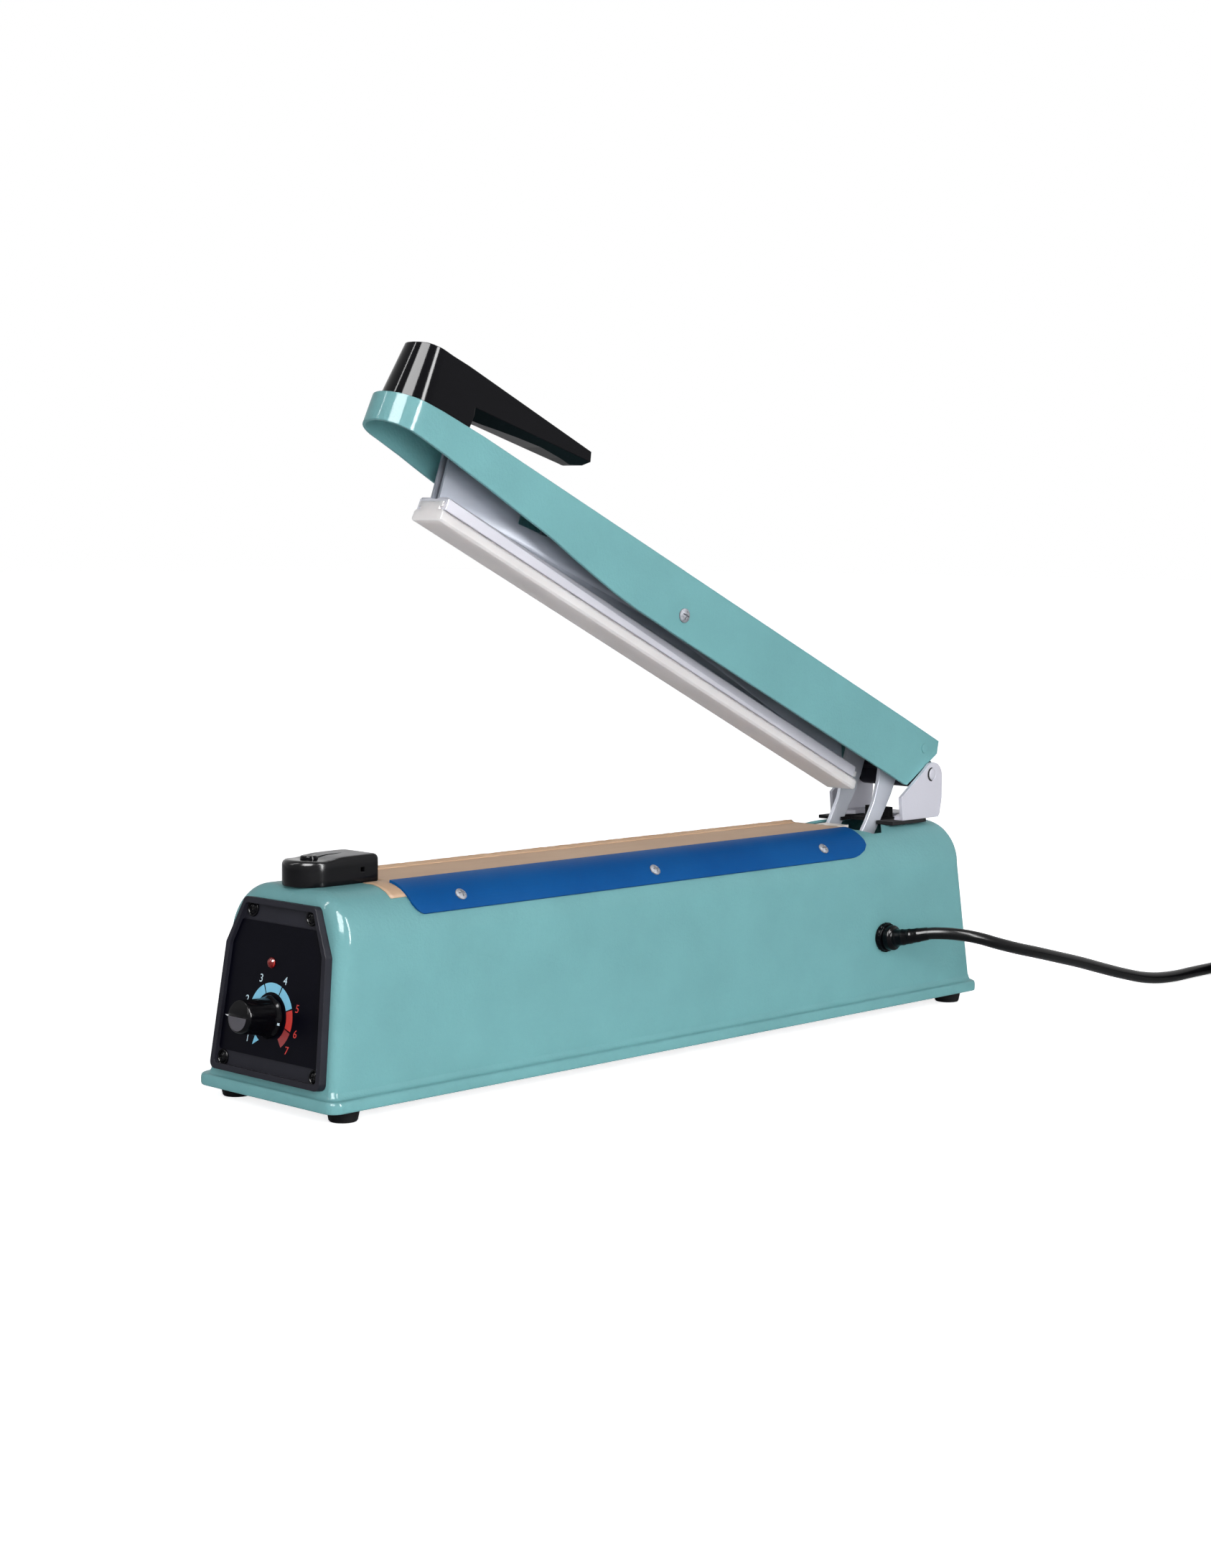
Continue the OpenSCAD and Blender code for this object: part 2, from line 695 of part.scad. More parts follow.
// Bar of aluminium extrusion with a shallow groove for the insulating strip and the heating band
module sealing_bar() {
    low_z = deck_h - wall_t - bar_h;
    color("#b8bcc0") difference() {
        union() {
            translate([-bar_w / 2, bar_y, low_z]) cube([bar_w, bar_l, wall_t + bar_h]);
            translate([-bar_w / 2 - ledge_w, bar_y + 1, low_z])
                cube([bar_w + 2 * ledge_w, bar_l - 2, bar_h - bar_seat]);
        }
        translate([-bar_w / 2 + 2, bar_y - 1, low_z - 1]) cube([bar_w - 4, bar_l + 2, bar_h - 2]);
        translate([-insulator_w / 2 - fit, bar_y - 1, line_z])
            cube([insulator_w + 2 * fit, bar_l + 2, 5]);
    }
}
bar_seat = 0.06;

module insulating_strip() {
    color("#e8e2d2") translate([-insulator_w / 2, seal_y - 2, line_z])
        cube([insulator_w, seal_l + 1, insulator_t]);
}

band_rear = seal_y + seal_l + 5;
module heating_band() {
    z = line_z + insulator_t;
    color("#9a938c") {
        translate([-band_w / 2, seal_y - 6, z]) cube([band_w, band_rear - seal_y + 6, band_t]);
        // tab that bends down to the rear terminal
        translate([-band_w / 2, band_rear - band_t, deck_h - 4.4])
            cube([band_w, band_t, z - deck_h + 4.4]);
    }
}

// Brass block let into the bar's groove, which the band is clamped to
module front_terminal() {
    color("#c9a24b") translate([-insulator_w / 2, seal_y - 11.5, line_z])
        cube([insulator_w, 9, insulator_t]);
}

module rear_terminal() {
    color("#8f8a80") {
        translate([-5, band_rear, deck_h - 9]) cube([10, 3, 9]);
        translate([-7.5, band_rear, deck_h - 1.2]) cube([15, 8, 1.2]);
        // foot clamped under the bar's top
        translate([-5, slot_y - 12, deck_h - wall_t - 3 - 1.2])
            cube([10, band_rear + 3 - slot_y + 12, 1.2]);
    }
}

// Section of a skin that follows the deck and its shoulders between two offsets
module skin_section(g0, g1, a) {
    outer = arc(shoulder_x, shoulder_z, shoulder_r + g1, a, 90, 14);
    inner = arc(shoulder_x, shoulder_z, shoulder_r + g0, a, 90, 14);
    n = len(outer) - 1;
    polygon(concat(outer, [for (i = [n:-1:0]) [-outer[i][0], outer[i][1]]],
        [for (p = inner) [-p[0], p[1]]], [for (i = [n:-1:0]) inner[i]]));
}

cloth_low_a = 51;
module sealing_cloth() {
    w = switch_w + 2 * small_gap;
    color("#c2a389") difference() {
        along_y(cloth_y, cloth_l) skin_section(skin_gap, skin_gap + cloth_t, cloth_low_a);
        // cut out round the switch
        translate([-w / 2, cloth_y - 1, deck_h - 1]) cube([w, bar_y - cloth_y + 0.8, 5]);
    }
}
skin_gap = 0.02;

// Strip on one shoulder: an arc section with curved ends
module clamp_strip(side) {
    r0 = shoulder_r + strip_g;
    low = shoulder_z + r0 * sin(strip_low_a);
    high = shoulder_z + r0 + strip_t;
    end_y = strip_y + strip_l;
    color("#1f5f9e") difference() {
        intersection() {
            along_y(strip_y, strip_l) polygon(concat(
                [for (p = arc(shoulder_x, shoulder_z, r0, strip_low_a, strip_high_a, 14))
                    [side * p[0], p[1]]],
                [for (p = arc(shoulder_x, shoulder_z, r0 + strip_t, strip_high_a, strip_low_a, 14))
                    [side * p[0], p[1]]]));
            along_x(side > 0 ? 0 : -60, 60) polygon(concat(
                [[strip_y, high + 1], [strip_y, low + 6]],
                arc(strip_y + 6, low + 6, 6, 180, 270, 6),
                [[strip_y + strip_l - 17, low - 1], [strip_y + strip_l - 16, low],
                 [strip_y + strip_l - 10, low + 1.2], [strip_y + strip_l - 4.6, low + 3.1],
                 [strip_y + strip_l - 1, low + 5.6], [strip_y + strip_l, low + 8],
                 [strip_y + strip_l, high + 1]]));
        }
        strip_screw_places(side, shoulder_r - 2) cylinder(r = m3_r + fit, h = 9);
    }
}
strip_g = skin_gap * 2 + cloth_t;

module right_clamp_strip() { clamp_strip(1); }
module left_clamp_strip() { clamp_strip(-1); }

module strip_screws() {
    color("#d4d6d8") for (s = [-1, 1]) strip_screw_places(s, shoulder_r + strip_g + strip_t + 0.02)
        pan_screw(m3_r - fit - 0.03, 7, 2.8, 1.5);
}

// ---------- transformer ----------

core_w = 58;
core_l = 44;
core_h = 48;
core_y = mid_y + 10;
bracket_hole_y = core_l / 2 + 12;

module transformer_core() {
    color("#6d7276") translate([0, core_y, floor_z + 1.6]) difference() {
        translate([-core_w / 2, -core_l / 2 + 6, 0]) cube([core_w, core_l - 12, core_h]);
        for (s = [-1, 1]) translate([s * core_w / 4 - 5, -core_l, 9]) cube([10, 2 * core_l, core_h - 18]);
    }
}

module transformer_coil() {
    color("#b5793c") translate([0, core_y, floor_z + 1.6]) difference() {
        translate([-core_w / 4 - 4.8, -core_l / 2, 9.1]) cube([core_w / 2 + 9.6, core_l, core_h - 18.2]);
        translate([-core_w / 4 + 4.9, -core_l / 2 + 5.9, 0]) cube([core_w / 2 - 9.8, core_l - 11.8, core_h]);
    }
}

module transformer_bracket() {
    z = floor_z;
    color("#b9bcc0") difference() {
        union() {
            translate([-9, core_y - core_l / 2 - 18, z]) cube([18, core_l + 36, 1.5]);
            for (s = [-1, 1]) translate([s * (core_w / 2 + 0.9) - 0.8, core_y - 8, z])
                cube([1.6, 16, core_h + 3.4]);
            translate([-core_w / 2 - 1.7, core_y - 8, z]) cube([core_w + 3.4, 16, 1.5]);
            translate([-core_w / 2 - 1.7, core_y - 8, z + core_h + 1.9]) cube([core_w + 3.4, 16, 1.5]);
        }
        for (s = [-1, 1]) translate([0, core_y + s * bracket_hole_y, z - 1])
            cylinder(r = m4_r + fit, h = 5);
    }
}

module transformer_screws() {
    color("#c9ccd0") for (s = [-1, 1]) translate([0, core_y + s * bracket_hole_y, floor_z + 1.5])
        pan_screw(m4_r - 0.05, bottom_t + 1.5, 3.6, 2.2);
}

// ---------- hinge ----------

gasket_y = slot_y + 27;
module blade_ways(z0, h) {
    for (s = [-1, 1]) translate([s * blade_x - blade_t / 2 - 1, slot_y + 2, z0])
        cube([blade_t + 2, slot_l, h]);
}

module bracket_holes(z0, h, r) {
    for (x = [-1, 1]) translate([x * bracket_screw_x, bracket_screw_y, z0]) cylinder(r = r, h = h);
}

module slot_gasket() {
    w = bracket_w + 1.4;
    color("#2b2b2e") difference() {
        translate([-w / 2, gasket_y, deck_h]) cube([w, hinge_y - 5.5 - gasket_y, gasket_t]);
        translate([-9, gasket_y - 1, deck_h - 1]) cube([18, 9, 5]);
        blade_ways(deck_h - 1, 5);
        bracket_holes(deck_h - 1, 5, m4_r + fit);
    }
}

// Outline of one ear in the side view
module ear_outline() {
    h = deck_h + gasket_t;
    y = hinge_y;
    polygon(concat(
        [[y - 24.5, h], [y - 25.9, h + 12]],
        arc(y + 1, hinge_z - 1.4, ear_r, 142, 0, 12),
        [[y + 8.7, h + 10], [y + 7, h + 1.5], [y + 5.7, h]]));
}

module hinge_bracket() {
    color("#d3d5da") difference() {
        union() {
            for (s = [-1, 1]) along_x(s > 0 ? ear_in : -bracket_w / 2, bracket_t) ear_outline();
            // base between the ears, hollowed in front for the lifting blades
            difference() {
                translate([-ear_in - 0.5, hinge_y - 24.5, plate_z]) cube([2 * ear_in + 1, 28, bracket_t]);
                translate([0, hinge_y - 30, plate_z - 1])
                    cylinder(r = blade_x + 7.5, h = 5);
                blade_ways(plate_z - 1, 5);
            }
        }
        translate([-bracket_w, hinge_y, hinge_z]) rotate([0, 90, 0])
            cylinder(r = pin_d / 2 + fit / 2, h = 2 * bracket_w);
        bracket_holes(plate_z - 1, 5, m4_r + fit);
    }
}

module bracket_screws() {
    color("#d4d6d8") for (x = [-1, 1])
        translate([x * bracket_screw_x, bracket_screw_y, plate_z + bracket_t]) {
            pan_screw(m4_r - fit, gasket_t + bracket_t + wall_t + 4.5, 3.6, 2);
            translate([0, 0, -gasket_t - bracket_t - wall_t - 3.2]) difference() {
                cylinder(r = 3.9, h = 3, $fn = 6);
                translate([0, 0, -1]) cylinder(r = m4_r - fit + 0.02, h = 5);
            }
        }
}

module arm_bumper() {
    color("#1b1b1e") difference() {
        translate([-8, hinge_y - 15.6, deck_h + gasket_t]) cube([16, 3.2, 5.2]);
        translate([0, hinge_y - 17, deck_h + gasket_t + 2.8]) rotate([-90, 0, 0])
            cylinder(r = 1, h = 4);
    }
}

module hinge_pin() {
    l = bracket_w + 2;
    color("#c6c9ce") translate([0, hinge_y, hinge_z]) rotate([0, 90, 0]) {
        translate([0, 0, -l / 2]) cylinder(r = pin_d / 2, h = l);
        // rivet-like head outside the right ear
        translate([0, 0, bracket_w / 2 + 0.05]) intersection() {
            cylinder(r = pin_d / 2 + 2, h = 2);
            translate([0, 0, -6.5]) sphere(r = 8.5);
        }
    }
}

module pin_clips() {
    color("#8a8d90") translate([-bracket_w / 2 - 0.9, hinge_y, hinge_z]) rotate([0, 90, 0])
        difference() {
            cylinder(r = pin_d / 2 + 2.2, h = 0.8);
            translate([0, 0, -1]) cylinder(r = pin_d / 2 + 0.02, h = 3);
            translate([-1.2, 0, -1]) cube([2.4, 10, 3]);
        }
}

block_r = 7.6;
block_y = hinge_y - 13;
module hinge_block() {
    w = arm_w - 2 * arm_t - 0.2;
    color("#1a1a1d") opened() difference() {
        union() {
            translate([-w / 2, hinge_y, hinge_z]) rotate([0, 90, 0]) cylinder(r = block_r, h = w);
            translate([-w / 2, block_y, hinge_z - 2]) cube([w, 13, arm_in_z - hinge_z + 2]);
        }
        translate([-w, hinge_y, hinge_z]) rotate([0, 90, 0])
            cylinder(r = pin_d / 2 + run_c, h = 2 * w);
        translate([-w, rivet_y, rivet_z]) rotate([0, 90, 0]) cylinder(r = rivet_r, h = 2 * w);
    }
}
rivet_r = 1.6;

// ---------- arm ----------

// Side view of the arm, drawn in by g below its top and carried down by deep
module arm_side(g, deep = 0) {
    y = hinge_y;
    n = nose_y;
    top = arm_top_z - g;
    low = arm_low_z - deep;
    polygon([
        [n - 1, top - 2.5], [n + 11.5, top - 1.7], [n + 24.5, top - 0.8], [n + 49.5, top],
        [y + 0.6, top], [y + 2.2, top - 6.5], [y - 14.3, low + 0.5], [y - 16, low],
        [n + 199, low + 1.2], [n + 170, low + 1.7], [n + 154.5, low + 2.6], [n + 138.5, low + 4.3],
        [n + 122, low + 6.3], [n + 106, low + 8.6], [n + 91, low + 9.7], [n + 76, low + 10.9],
        [n + 61, low + 12.2], [n + 46.5, low + 13.1], [n + 32.5, low + 14.2],
        [n + 18.6, low + 14.9], [n - 1, low + 15.5]]);
}

// Fall of the arm's top towards the nose
function nose_drop(y) = lookup(y - nose_y, [[-1, 2.5], [11.5, 1.7], [24.5, 0.8], [49.5, 0]]);

// Half width of the arm at a place along it
taper_end = hinge_y - 32;
nose_mid = nose_y + nose_r;
function arm_half(y) = nose_r + (arm_w / 2 - nose_r) *
    min(max((y - nose_mid) / (taper_end - nose_mid), 0), 1);

// Plan of the arm: a tapering channel with a round nose
module arm_plan(g) {
    translate([0, nose_mid]) circle(r = nose_r - g);
    polygon([[-nose_r + g, nose_mid], [nose_r - g, nose_mid], [arm_w / 2 - g, taper_end],
        [arm_w / 2 - g, base_l], [-arm_w / 2 + g, base_l], [-arm_w / 2 + g, taper_end]]);
}

module arm_cover() {
    h = arm_depth + 20;
    color("#7fb0b3") opened() difference() {
        intersection() {
            along_x(-arm_w, 2 * arm_w) arm_side(0);
            translate([0, 0, arm_low_z - 1]) linear_extrude(height = h) arm_plan(0);
        }
        intersection() {
            along_x(-arm_w, 2 * arm_w) translate([1, 0]) arm_side(arm_t, 20);
            translate([0, 0, arm_low_z - 30]) linear_extrude(height = h + 30) arm_plan(arm_t);
        }
        translate([-arm_w, rivet_y, rivet_z]) rotate([0, 90, 0]) cylinder(r = rivet_r, h = 2 * arm_w);
        translate([-arm_w, rock_y, rock_z]) rotate([0, 90, 0])
            cylinder(r = rock_r + fit / 2, h = 2 * arm_w);
        for (y = handle_screw_at) translate([0, y, arm_in_z - 5]) cylinder(r = m4_r + fit, h = 12);
    }
}
rivet_y = hinge_y - 9;
rivet_z = arm_top_z - 8;
handle_y = nose_y + 3.3;
handle_screw_at = [handle_y + 12, handle_y + 27];

module arm_rivets() {
    color("#8fbcbf") opened() for (s = [-1, 1])
        translate([s * (arm_w / 2 - arm_t - 3), rivet_y, rivet_z]) rotate([0, s * 90, 0]) {
            cylinder(r = rivet_r - 0.02, h = arm_t + 3);
            translate([0, 0, arm_t + 3]) cylinder(r = 2.6, h = 0.5);
        }
}

// One lifting blade in the side view, closed: a curved sabre that ends in a hook eye
module blade_outline() {
    y = hinge_y;
    z = hinge_z;
    polygon([
        [y - 31, arm_in_z - 0.6], [y - 15, arm_in_z - 0.6], [y - 14, z - 8], [y - 14.4, z - 18],
        [y - 16.2, z - 30], [y - 18, z - 40], [y - 20.5, z - 50], [y - 24.5, z - 57.6],
        [y - 28.6, z - 57], [y - 29.4, z - 50], [y - 27, z - 38], [y - 25.7, z - 26],
        [y - 27, z - 15], [y - 29.5, z - 6]]);
}
rod_y = hinge_y - 26;
rod_z = hinge_z - 54;
rod_r = 1.5;

module lift_fork() {
    color("#ccd1d8") opened() difference() {
        union() {
            for (s = [-1, 1]) along_x(s * blade_x - blade_t / 2, blade_t) blade_outline();
            // web that is welded under the arm's top
            translate([-blade_x - blade_t / 2, hinge_y - 31, arm_in_z - 2.2])
                cube([2 * blade_x + blade_t, 16, 2.18]);
        }
        translate([-blade_x - 5, rod_y, rod_z]) rotate([0, 90, 0])
            cylinder(r = rod_r + 0.03, h = 2 * blade_x + 10);
    }
}

module fork_rod() {
    color("#8a8d90") opened() translate([-blade_x - 2.2, rod_y, rod_z]) rotate([0, 90, 0])
        cylinder(r = rod_r, h = 2 * blade_x + 4.4);
}

// Place of the fork's rod when the arm is open
function open_pt(y, z) = [
    hinge_y + (y - hinge_y) * cos(open_a) + (z - hinge_z) * sin(open_a),
    hinge_z - (y - hinge_y) * sin(open_a) + (z - hinge_z) * cos(open_a)];
rod_open = open_pt(rod_y, rod_z);
anchor_y = slot_y - 40;
anchor_z = deck_h - wall_t - bar_h - 4.5;
coil_r = 4;

module return_spring() {
    dy = rod_open[0] - anchor_y;
    dz = rod_open[1] - anchor_z;
    l = norm([dy, dz]);
    color("#9a9da0") translate([0, anchor_y, anchor_z]) rotate([atan2(dz, dy), 0, 0])
        rotate([-90, 0, 0]) translate([0, 0, 1.9]) difference() {
            cylinder(r = coil_r, h = l - 1.9 - rod_r - 0.3);
            translate([0, 0, -1]) cylinder(r = coil_r - 1, h = l + 2);
        }
}

module spring_anchor() {
    z = deck_h - wall_t - bar_h;
    color("#a9adb0") {
        translate([-bar_w / 2 - ledge_w, anchor_y - 6, z - 1.5])
            cube([bar_w + 2 * ledge_w, 7.4, 1.4]);
        for (s = [-1, 1]) translate([s * 6 - 0.8, anchor_y - 4, z - 8]) cube([1.6, 7, 7]);
        translate([-7.5, anchor_y, anchor_z]) rotate([0, 90, 0]) cylinder(r = 1.5, h = 15);
    }
}

// Side view of the handle: a block with a beak that leaves a finger gap behind it
module handle_side() {
    y = handle_y;
    z = arm_top_z;
    b = z + handle_h;
    e = y + handle_l;
    polygon([
        [y - 1, z - 2.26], [y - 1, b - 6], [y + 3, b - 3.4], [y + 6, b - 2.6], [y + 12, b - 2.4],
        [y + 19, b - 2.4], [y + 30, b - 1.9], [y + 41, b - 1.2], [y + 53, b - 0.6],
        [y + 75, b - 0.2], [e - 12, b], [e, b - 0.6], [e + 2.6, b - 1.9], [e + 4, b - 8.1],
        [e, b - 9.8], [e - 9, b - 10.6], [e - 23, b - 12.2], [e - 37, b - 14.5],
        [e - 51, b - 17], [y + 39.5, b - 20.9],
        [y + 38.4, z - 0.22], [y + 21.2, z - 0.78], [y + 8.2, z - 1.68], [y, z - 2.2]]);
}

module handle() {
    hr = handle_w / 2;
    y = handle_y;
    b = arm_top_z + handle_h;
    low = arm_top_z - 3;
    high = b + 1;
    top_r = hr - (high - low) * tan(handle_draft);
    color("#0f0f11") opened() difference() {
        intersection() {
            along_x(-hr - 1, handle_w + 2) handle_side();
            union() {
                translate([0, y + hr, low]) cylinder(r1 = hr, r2 = top_r, h = high - low);
                along_y(y + hr, handle_l) polygon([[-hr, low], [hr, low], [top_r, high],
                    [-top_r, high]]);
            }
            // crown of the top
            along_y(y - 5, handle_l + 20) translate([0, b - handle_crown]) circle(r = handle_crown);
            // corners of the beak's end
            translate([0, 0, low]) linear_extrude(height = high - low)
                polygon([[-hr - 1, y - 2], [hr + 1, y - 2], [hr + 1, y + handle_l - 18],
                    [hr - 2.6, y + handle_l + 5], [-hr + 2.6, y + handle_l + 5],
                    [-hr - 1, y + handle_l - 18]]);
        }
        // sloping lower edges of the beak
        for (s = [-1, 1]) translate([0, y + 38.8, b - 17]) rotate([8.4, 0, 0])
            along_y(0, handle_l) polygon([[s * (hr + 1), 0.3], [s * (hr + 1), -9],
                [s * 3, -9], [s * 3, -3.3]]);
        for (sy = handle_screw_at) translate([0, sy, arm_top_z - 3]) cylinder(r = m4_r - fit, h = 15);
    }
}
handle_draft = 6; // lean of the handle's sides in degrees
handle_crown = 32;

module handle_screws() {
    color("#c9ccd0") opened() for (y = handle_screw_at)
        translate([0, y, arm_in_z - nose_drop(y - 3.4) - 0.05])
        rotate([180, 0, 0]) pan_screw(m4_r - fit - 0.03, 12, 3.4, 2);
}

// ---------- press bar ----------

lip_w = 3.2;
module press_bar() {
    hw = press_w / 2;
    ww = web_w / 2;
    color("#c3c8cf") hung() difference() {
        union() {
            along_y(press_y + 1, press_l - 5) polygon([
                [-hw, holder_z], [-hw, web_z - 0.8], [-hw + 1, web_z], [-ww, web_z],
                [-ww, web_top_z], [-ww + web_t, web_top_z], [-ww + web_t, web_z - 0.6],
                [ww - web_t, web_z - 0.6], [ww - web_t, web_top_z], [ww, web_top_z], [ww, web_z],
                [hw - 1, web_z], [hw, web_z - 0.8], [hw, holder_z], [hw - lip_w, holder_z],
                [hw - lip_w, holder_z + 1.4], [hw - lip_w + 1.4, holder_z + 1.4],
                [hw - lip_w + 1.4, holder_z + 4], [-hw + lip_w - 1.4, holder_z + 4],
                [-hw + lip_w - 1.4, holder_z + 1.4], [-hw + lip_w, holder_z + 1.4],
                [-hw + lip_w, holder_z]]);
            // bush that the rocking screw passes through
            translate([-bush_l / 2, rock_y, rock_z]) rotate([0, 90, 0]) cylinder(r = 4.6, h = bush_l);
        }
        // web cut back at its rear end
        translate([-10, press_y + press_l - 8, web_z]) rotate([30, 0, 0]) cube([20, 30, 30]);
        translate([-20, rock_y, rock_z]) rotate([0, 90, 0]) cylinder(r = rock_r + run_c, h = 40);
    }
}
bush_l = 2 * (arm_half(rock_y) - arm_t - small_gap - 0.1);

module press_rubber() {
    hw = press_w / 2;
    c = 0.06;
    in = hw - lip_w;
    color("#eceae6") hung() along_y(press_y, press_l) polygon([
        [-hw + 1, rubber_z], [-hw, rubber_z + 1], [-hw, holder_z - 1.2], [-hw + 1.2, holder_z - c],
        [-in + c, holder_z - c], [-in + c, holder_z + 1.4 + c], [-in - 1.4 + c, holder_z + 1.4 + c],
        [-in - 1.4 + c, holder_z + 4 - c], [in + 1.4 - c, holder_z + 4 - c],
        [in + 1.4 - c, holder_z + 1.4 + c], [in - c, holder_z + 1.4 + c], [in - c, holder_z - c],
        [hw - 1.2, holder_z - c], [hw, holder_z - 1.2], [hw, rubber_z + 1], [hw - 1, rubber_z]]);
}

module rock_screw() {
    w = arm_half(rock_y);
    color("#d4d6d8") opened() translate([0, rock_y, rock_z]) rotate([0, 90, 0]) {
        translate([0, 0, w + 0.1]) pan_screw(rock_r - 0.02, 2 * w + 3.5, 3.4, 1.9);
        translate([0, 0, -w - 2.9]) difference() {
            cylinder(r = 3.8, h = 2.8, $fn = 6);
            translate([0, 0, -1]) cylinder(r = rock_r, h = 5);
        }
    }
}

// Springs between the web's top and the arm, ahead of and behind the rocking screw
module rock_springs() {
    color("#9a9da0") for (f = [0.34, 0.82]) opened()
        translate([0, press_y + f * press_l, web_top_z + rock_play]) difference() {
            cylinder(r = 3.2, h = arm_in_z - 0.02 - rock_play - web_top_z);
            translate([0, 0, -1]) cylinder(r = 2.4, h = 60);
        }
}

// ---------- mains lead ----------

gland_out = 3.3;
gland_x = wall_x + gland_out;
cord_r = cord_d / 2;

// Routes are given from the middle of the gland's face
relief_pts = [[0, 0, 0], [5, 0.2, 0.5], [10, 1.2, 1.4], [15, 3.2, 2.5], [20, 6.4, 3.6]];
relief_r = [4.2, 4, 3.8, 3.6, 3.4];
lead_pts = [[20, 6.4, 3.6], [26, 11, 3.9], [32, 17.5, 3.2], [37, 26, 1.2], [40.5, 37, -2.2],
    [42.5, 51, -6], [43.5, 68, -10], [43.5, 88, -14.8], [43, 108, -19.6], [42.5, 130, -25.4],
    [42.5, 152, -31], [42.5, 174, -35.6], [42.5, 196, -37.7], [42.5, 222, -37.7],
    [42.5, 254, -37.7]];
coil_mid = [80.5, 266];
coil_in = 28.5;
coil_out = 41.3;
coil_h = 12.4;
tail_pts = [[80.5, 300.9, -25.2], [92, 300, -25.2], [104, 296.5, -25.2], [115.5, 290, -25.2],
    [126, 280.5, -25], [134.5, 268, -24.3], [140, 254, -23.3], [142, 243, -22.5], [142, 232, -22.3]];
plug_at = [142, 232];
plug_r = 18.5;

function unit(v) = v / norm(v);
function heading(p, i) = unit(p[min(i + 1, len(p) - 1)] - p[max(i - 1, 0)]);
function ring(p, i, r, n) =
    let (t = heading(p, i), s = unit(cross(t, [0, 0, 1])), u = cross(s, t))
    [for (k = [0:n - 1]) p[i] + r * (cos(360 * k / n) * s + sin(360 * k / n) * u)];

// Tube along a route, with one radius per point
module tube(p, r, n = 12) {
    m = len(p);
    polyhedron(
        points = [for (i = [0:m - 1], q = ring(p, i, r[i], n)) q],
        faces = concat(
            [[for (k = [0:n - 1]) k]],
            [[for (k = [n - 1:-1:0]) (m - 1) * n + k]],
            [for (i = [0:m - 2], k = [0:n - 1])
                [i * n + k, (i + 1) * n + k, (i + 1) * n + (k + 1) % n, i * n + (k + 1) % n]]));
}

// Carries a route's points to the gland
module at_gland() {
    translate([gland_x, gland_y, gland_z]) children();
}

module cord_gland() {
    color("#141416") translate([0, gland_y, gland_z]) rotate([0, 90, 0]) difference() {
        union() {
            translate([0, 0, wall_x + 0.05]) cylinder(r = gland_d / 2, h = gland_out - 0.05);
            translate([0, 0, wall_x - wall_t - 6]) cylinder(r = gland_hole_r - fit, h = wall_t + 7);
            // grip ribs round the head
            for (a = [0:20:340]) rotate([0, 0, a])
                translate([gland_d / 2 - 0.6, -0.7, wall_x + 0.8]) cube([1.1, 1.4, gland_out - 2]);
        }
        translate([0, 0, wall_x - 12]) cylinder(r = cord_r + 0.3, h = 11);
    }
}

module gland_nut() {
    color("#1c1c1f") translate([wall_x - wall_t - 4.2, gland_y, gland_z]) rotate([0, 90, 0])
        difference() {
            cylinder(r = gland_hole_r + 3, h = 3, $fn = 6);
            translate([0, 0, -1]) cylinder(r = gland_hole_r, h = 6);
        }
}

module strain_relief() {
    color("#161618") at_gland() tube(relief_pts, relief_r);
}

module power_cord() {
    color("#1a1a1c") at_gland() tube(lead_pts, [for (p = lead_pts) cord_r]);
}

module cord_coil() {
    i = coil_in;
    o = coil_out;
    color("#1a1a1c") translate([gland_x + coil_mid[0], gland_y + coil_mid[1], 0]) rotate_extrude()
        polygon([[i + 1, 0], [o - 1, 0], [o, 1], [o, coil_h - 1], [o - 1, coil_h],
            [o - 3.2, coil_h + 0.6], [o - 3.2, coil_h + 5.4], [o - 4.2, coil_h + 6.3],
            [i + 4.2, coil_h + 6.3], [i + 3.2, coil_h + 5.4], [i + 3.2, coil_h + 0.6],
            [i + 1, coil_h], [i, coil_h - 1], [i, 1]]);
}

module plug_lead() {
    color("#1a1a1c") at_gland() tube(tail_pts, [for (p = tail_pts) cord_r]);
}

module mains_plug() {
    color("#1a1a1c") translate([gland_x + plug_at[0], gland_y + plug_at[1], plug_r])
        rotate([90, 0, 0]) rotate_extrude() polygon([[0, 0], [5, 0], [6, 8], [7.5, 14], [13, 18],
            [plug_r - 1, 24], [plug_r, 28], [plug_r, 45], [plug_r - 1, 46], [0, 46]]);
}

module plug_pins() {
    color("#c9ccd0") for (s = [-1, 1])
        translate([gland_x + plug_at[0] + s * 9.5, gland_y + plug_at[1] - 46, plug_r])
            rotate([90, 0, 0]) {
                cylinder(r = 2.4, h = 18);
                translate([0, 0, 18]) cylinder(r1 = 2.4, r2 = 1.6, h = 1);
            }
}

// ---------- parts shown ----------

base_housing();
bottom_plate();
plate_screws();
rubber_feet();
foot_screws();
control_panel();
dial_label();
panel_screws();
timer_knob();
potentiometer();
potentiometer_shaft();
timer_board();
board_parts();
board_pillars();
lamp_lens();
switch_housing();
switch_button();
button_spring();
microswitch();
switch_screws();
sealing_bar();
insulating_strip();
heating_band();
front_terminal();
rear_terminal();
sealing_cloth();
right_clamp_strip();
left_clamp_strip();
strip_screws();
transformer_core();
transformer_coil();
transformer_bracket();
transformer_screws();
slot_gasket();
hinge_bracket();
bracket_screws();
arm_bumper();
hinge_pin();
pin_clips();
hinge_block();
arm_cover();
arm_rivets();
lift_fork();
fork_rod();
return_spring();
spring_anchor();
handle();
handle_screws();
press_bar();
press_rubber();
rock_screw();
rock_springs();
cord_gland();
gland_nut();
strain_relief();
power_cord();
cord_coil();
plug_lead();
mains_plug();
plug_pins();
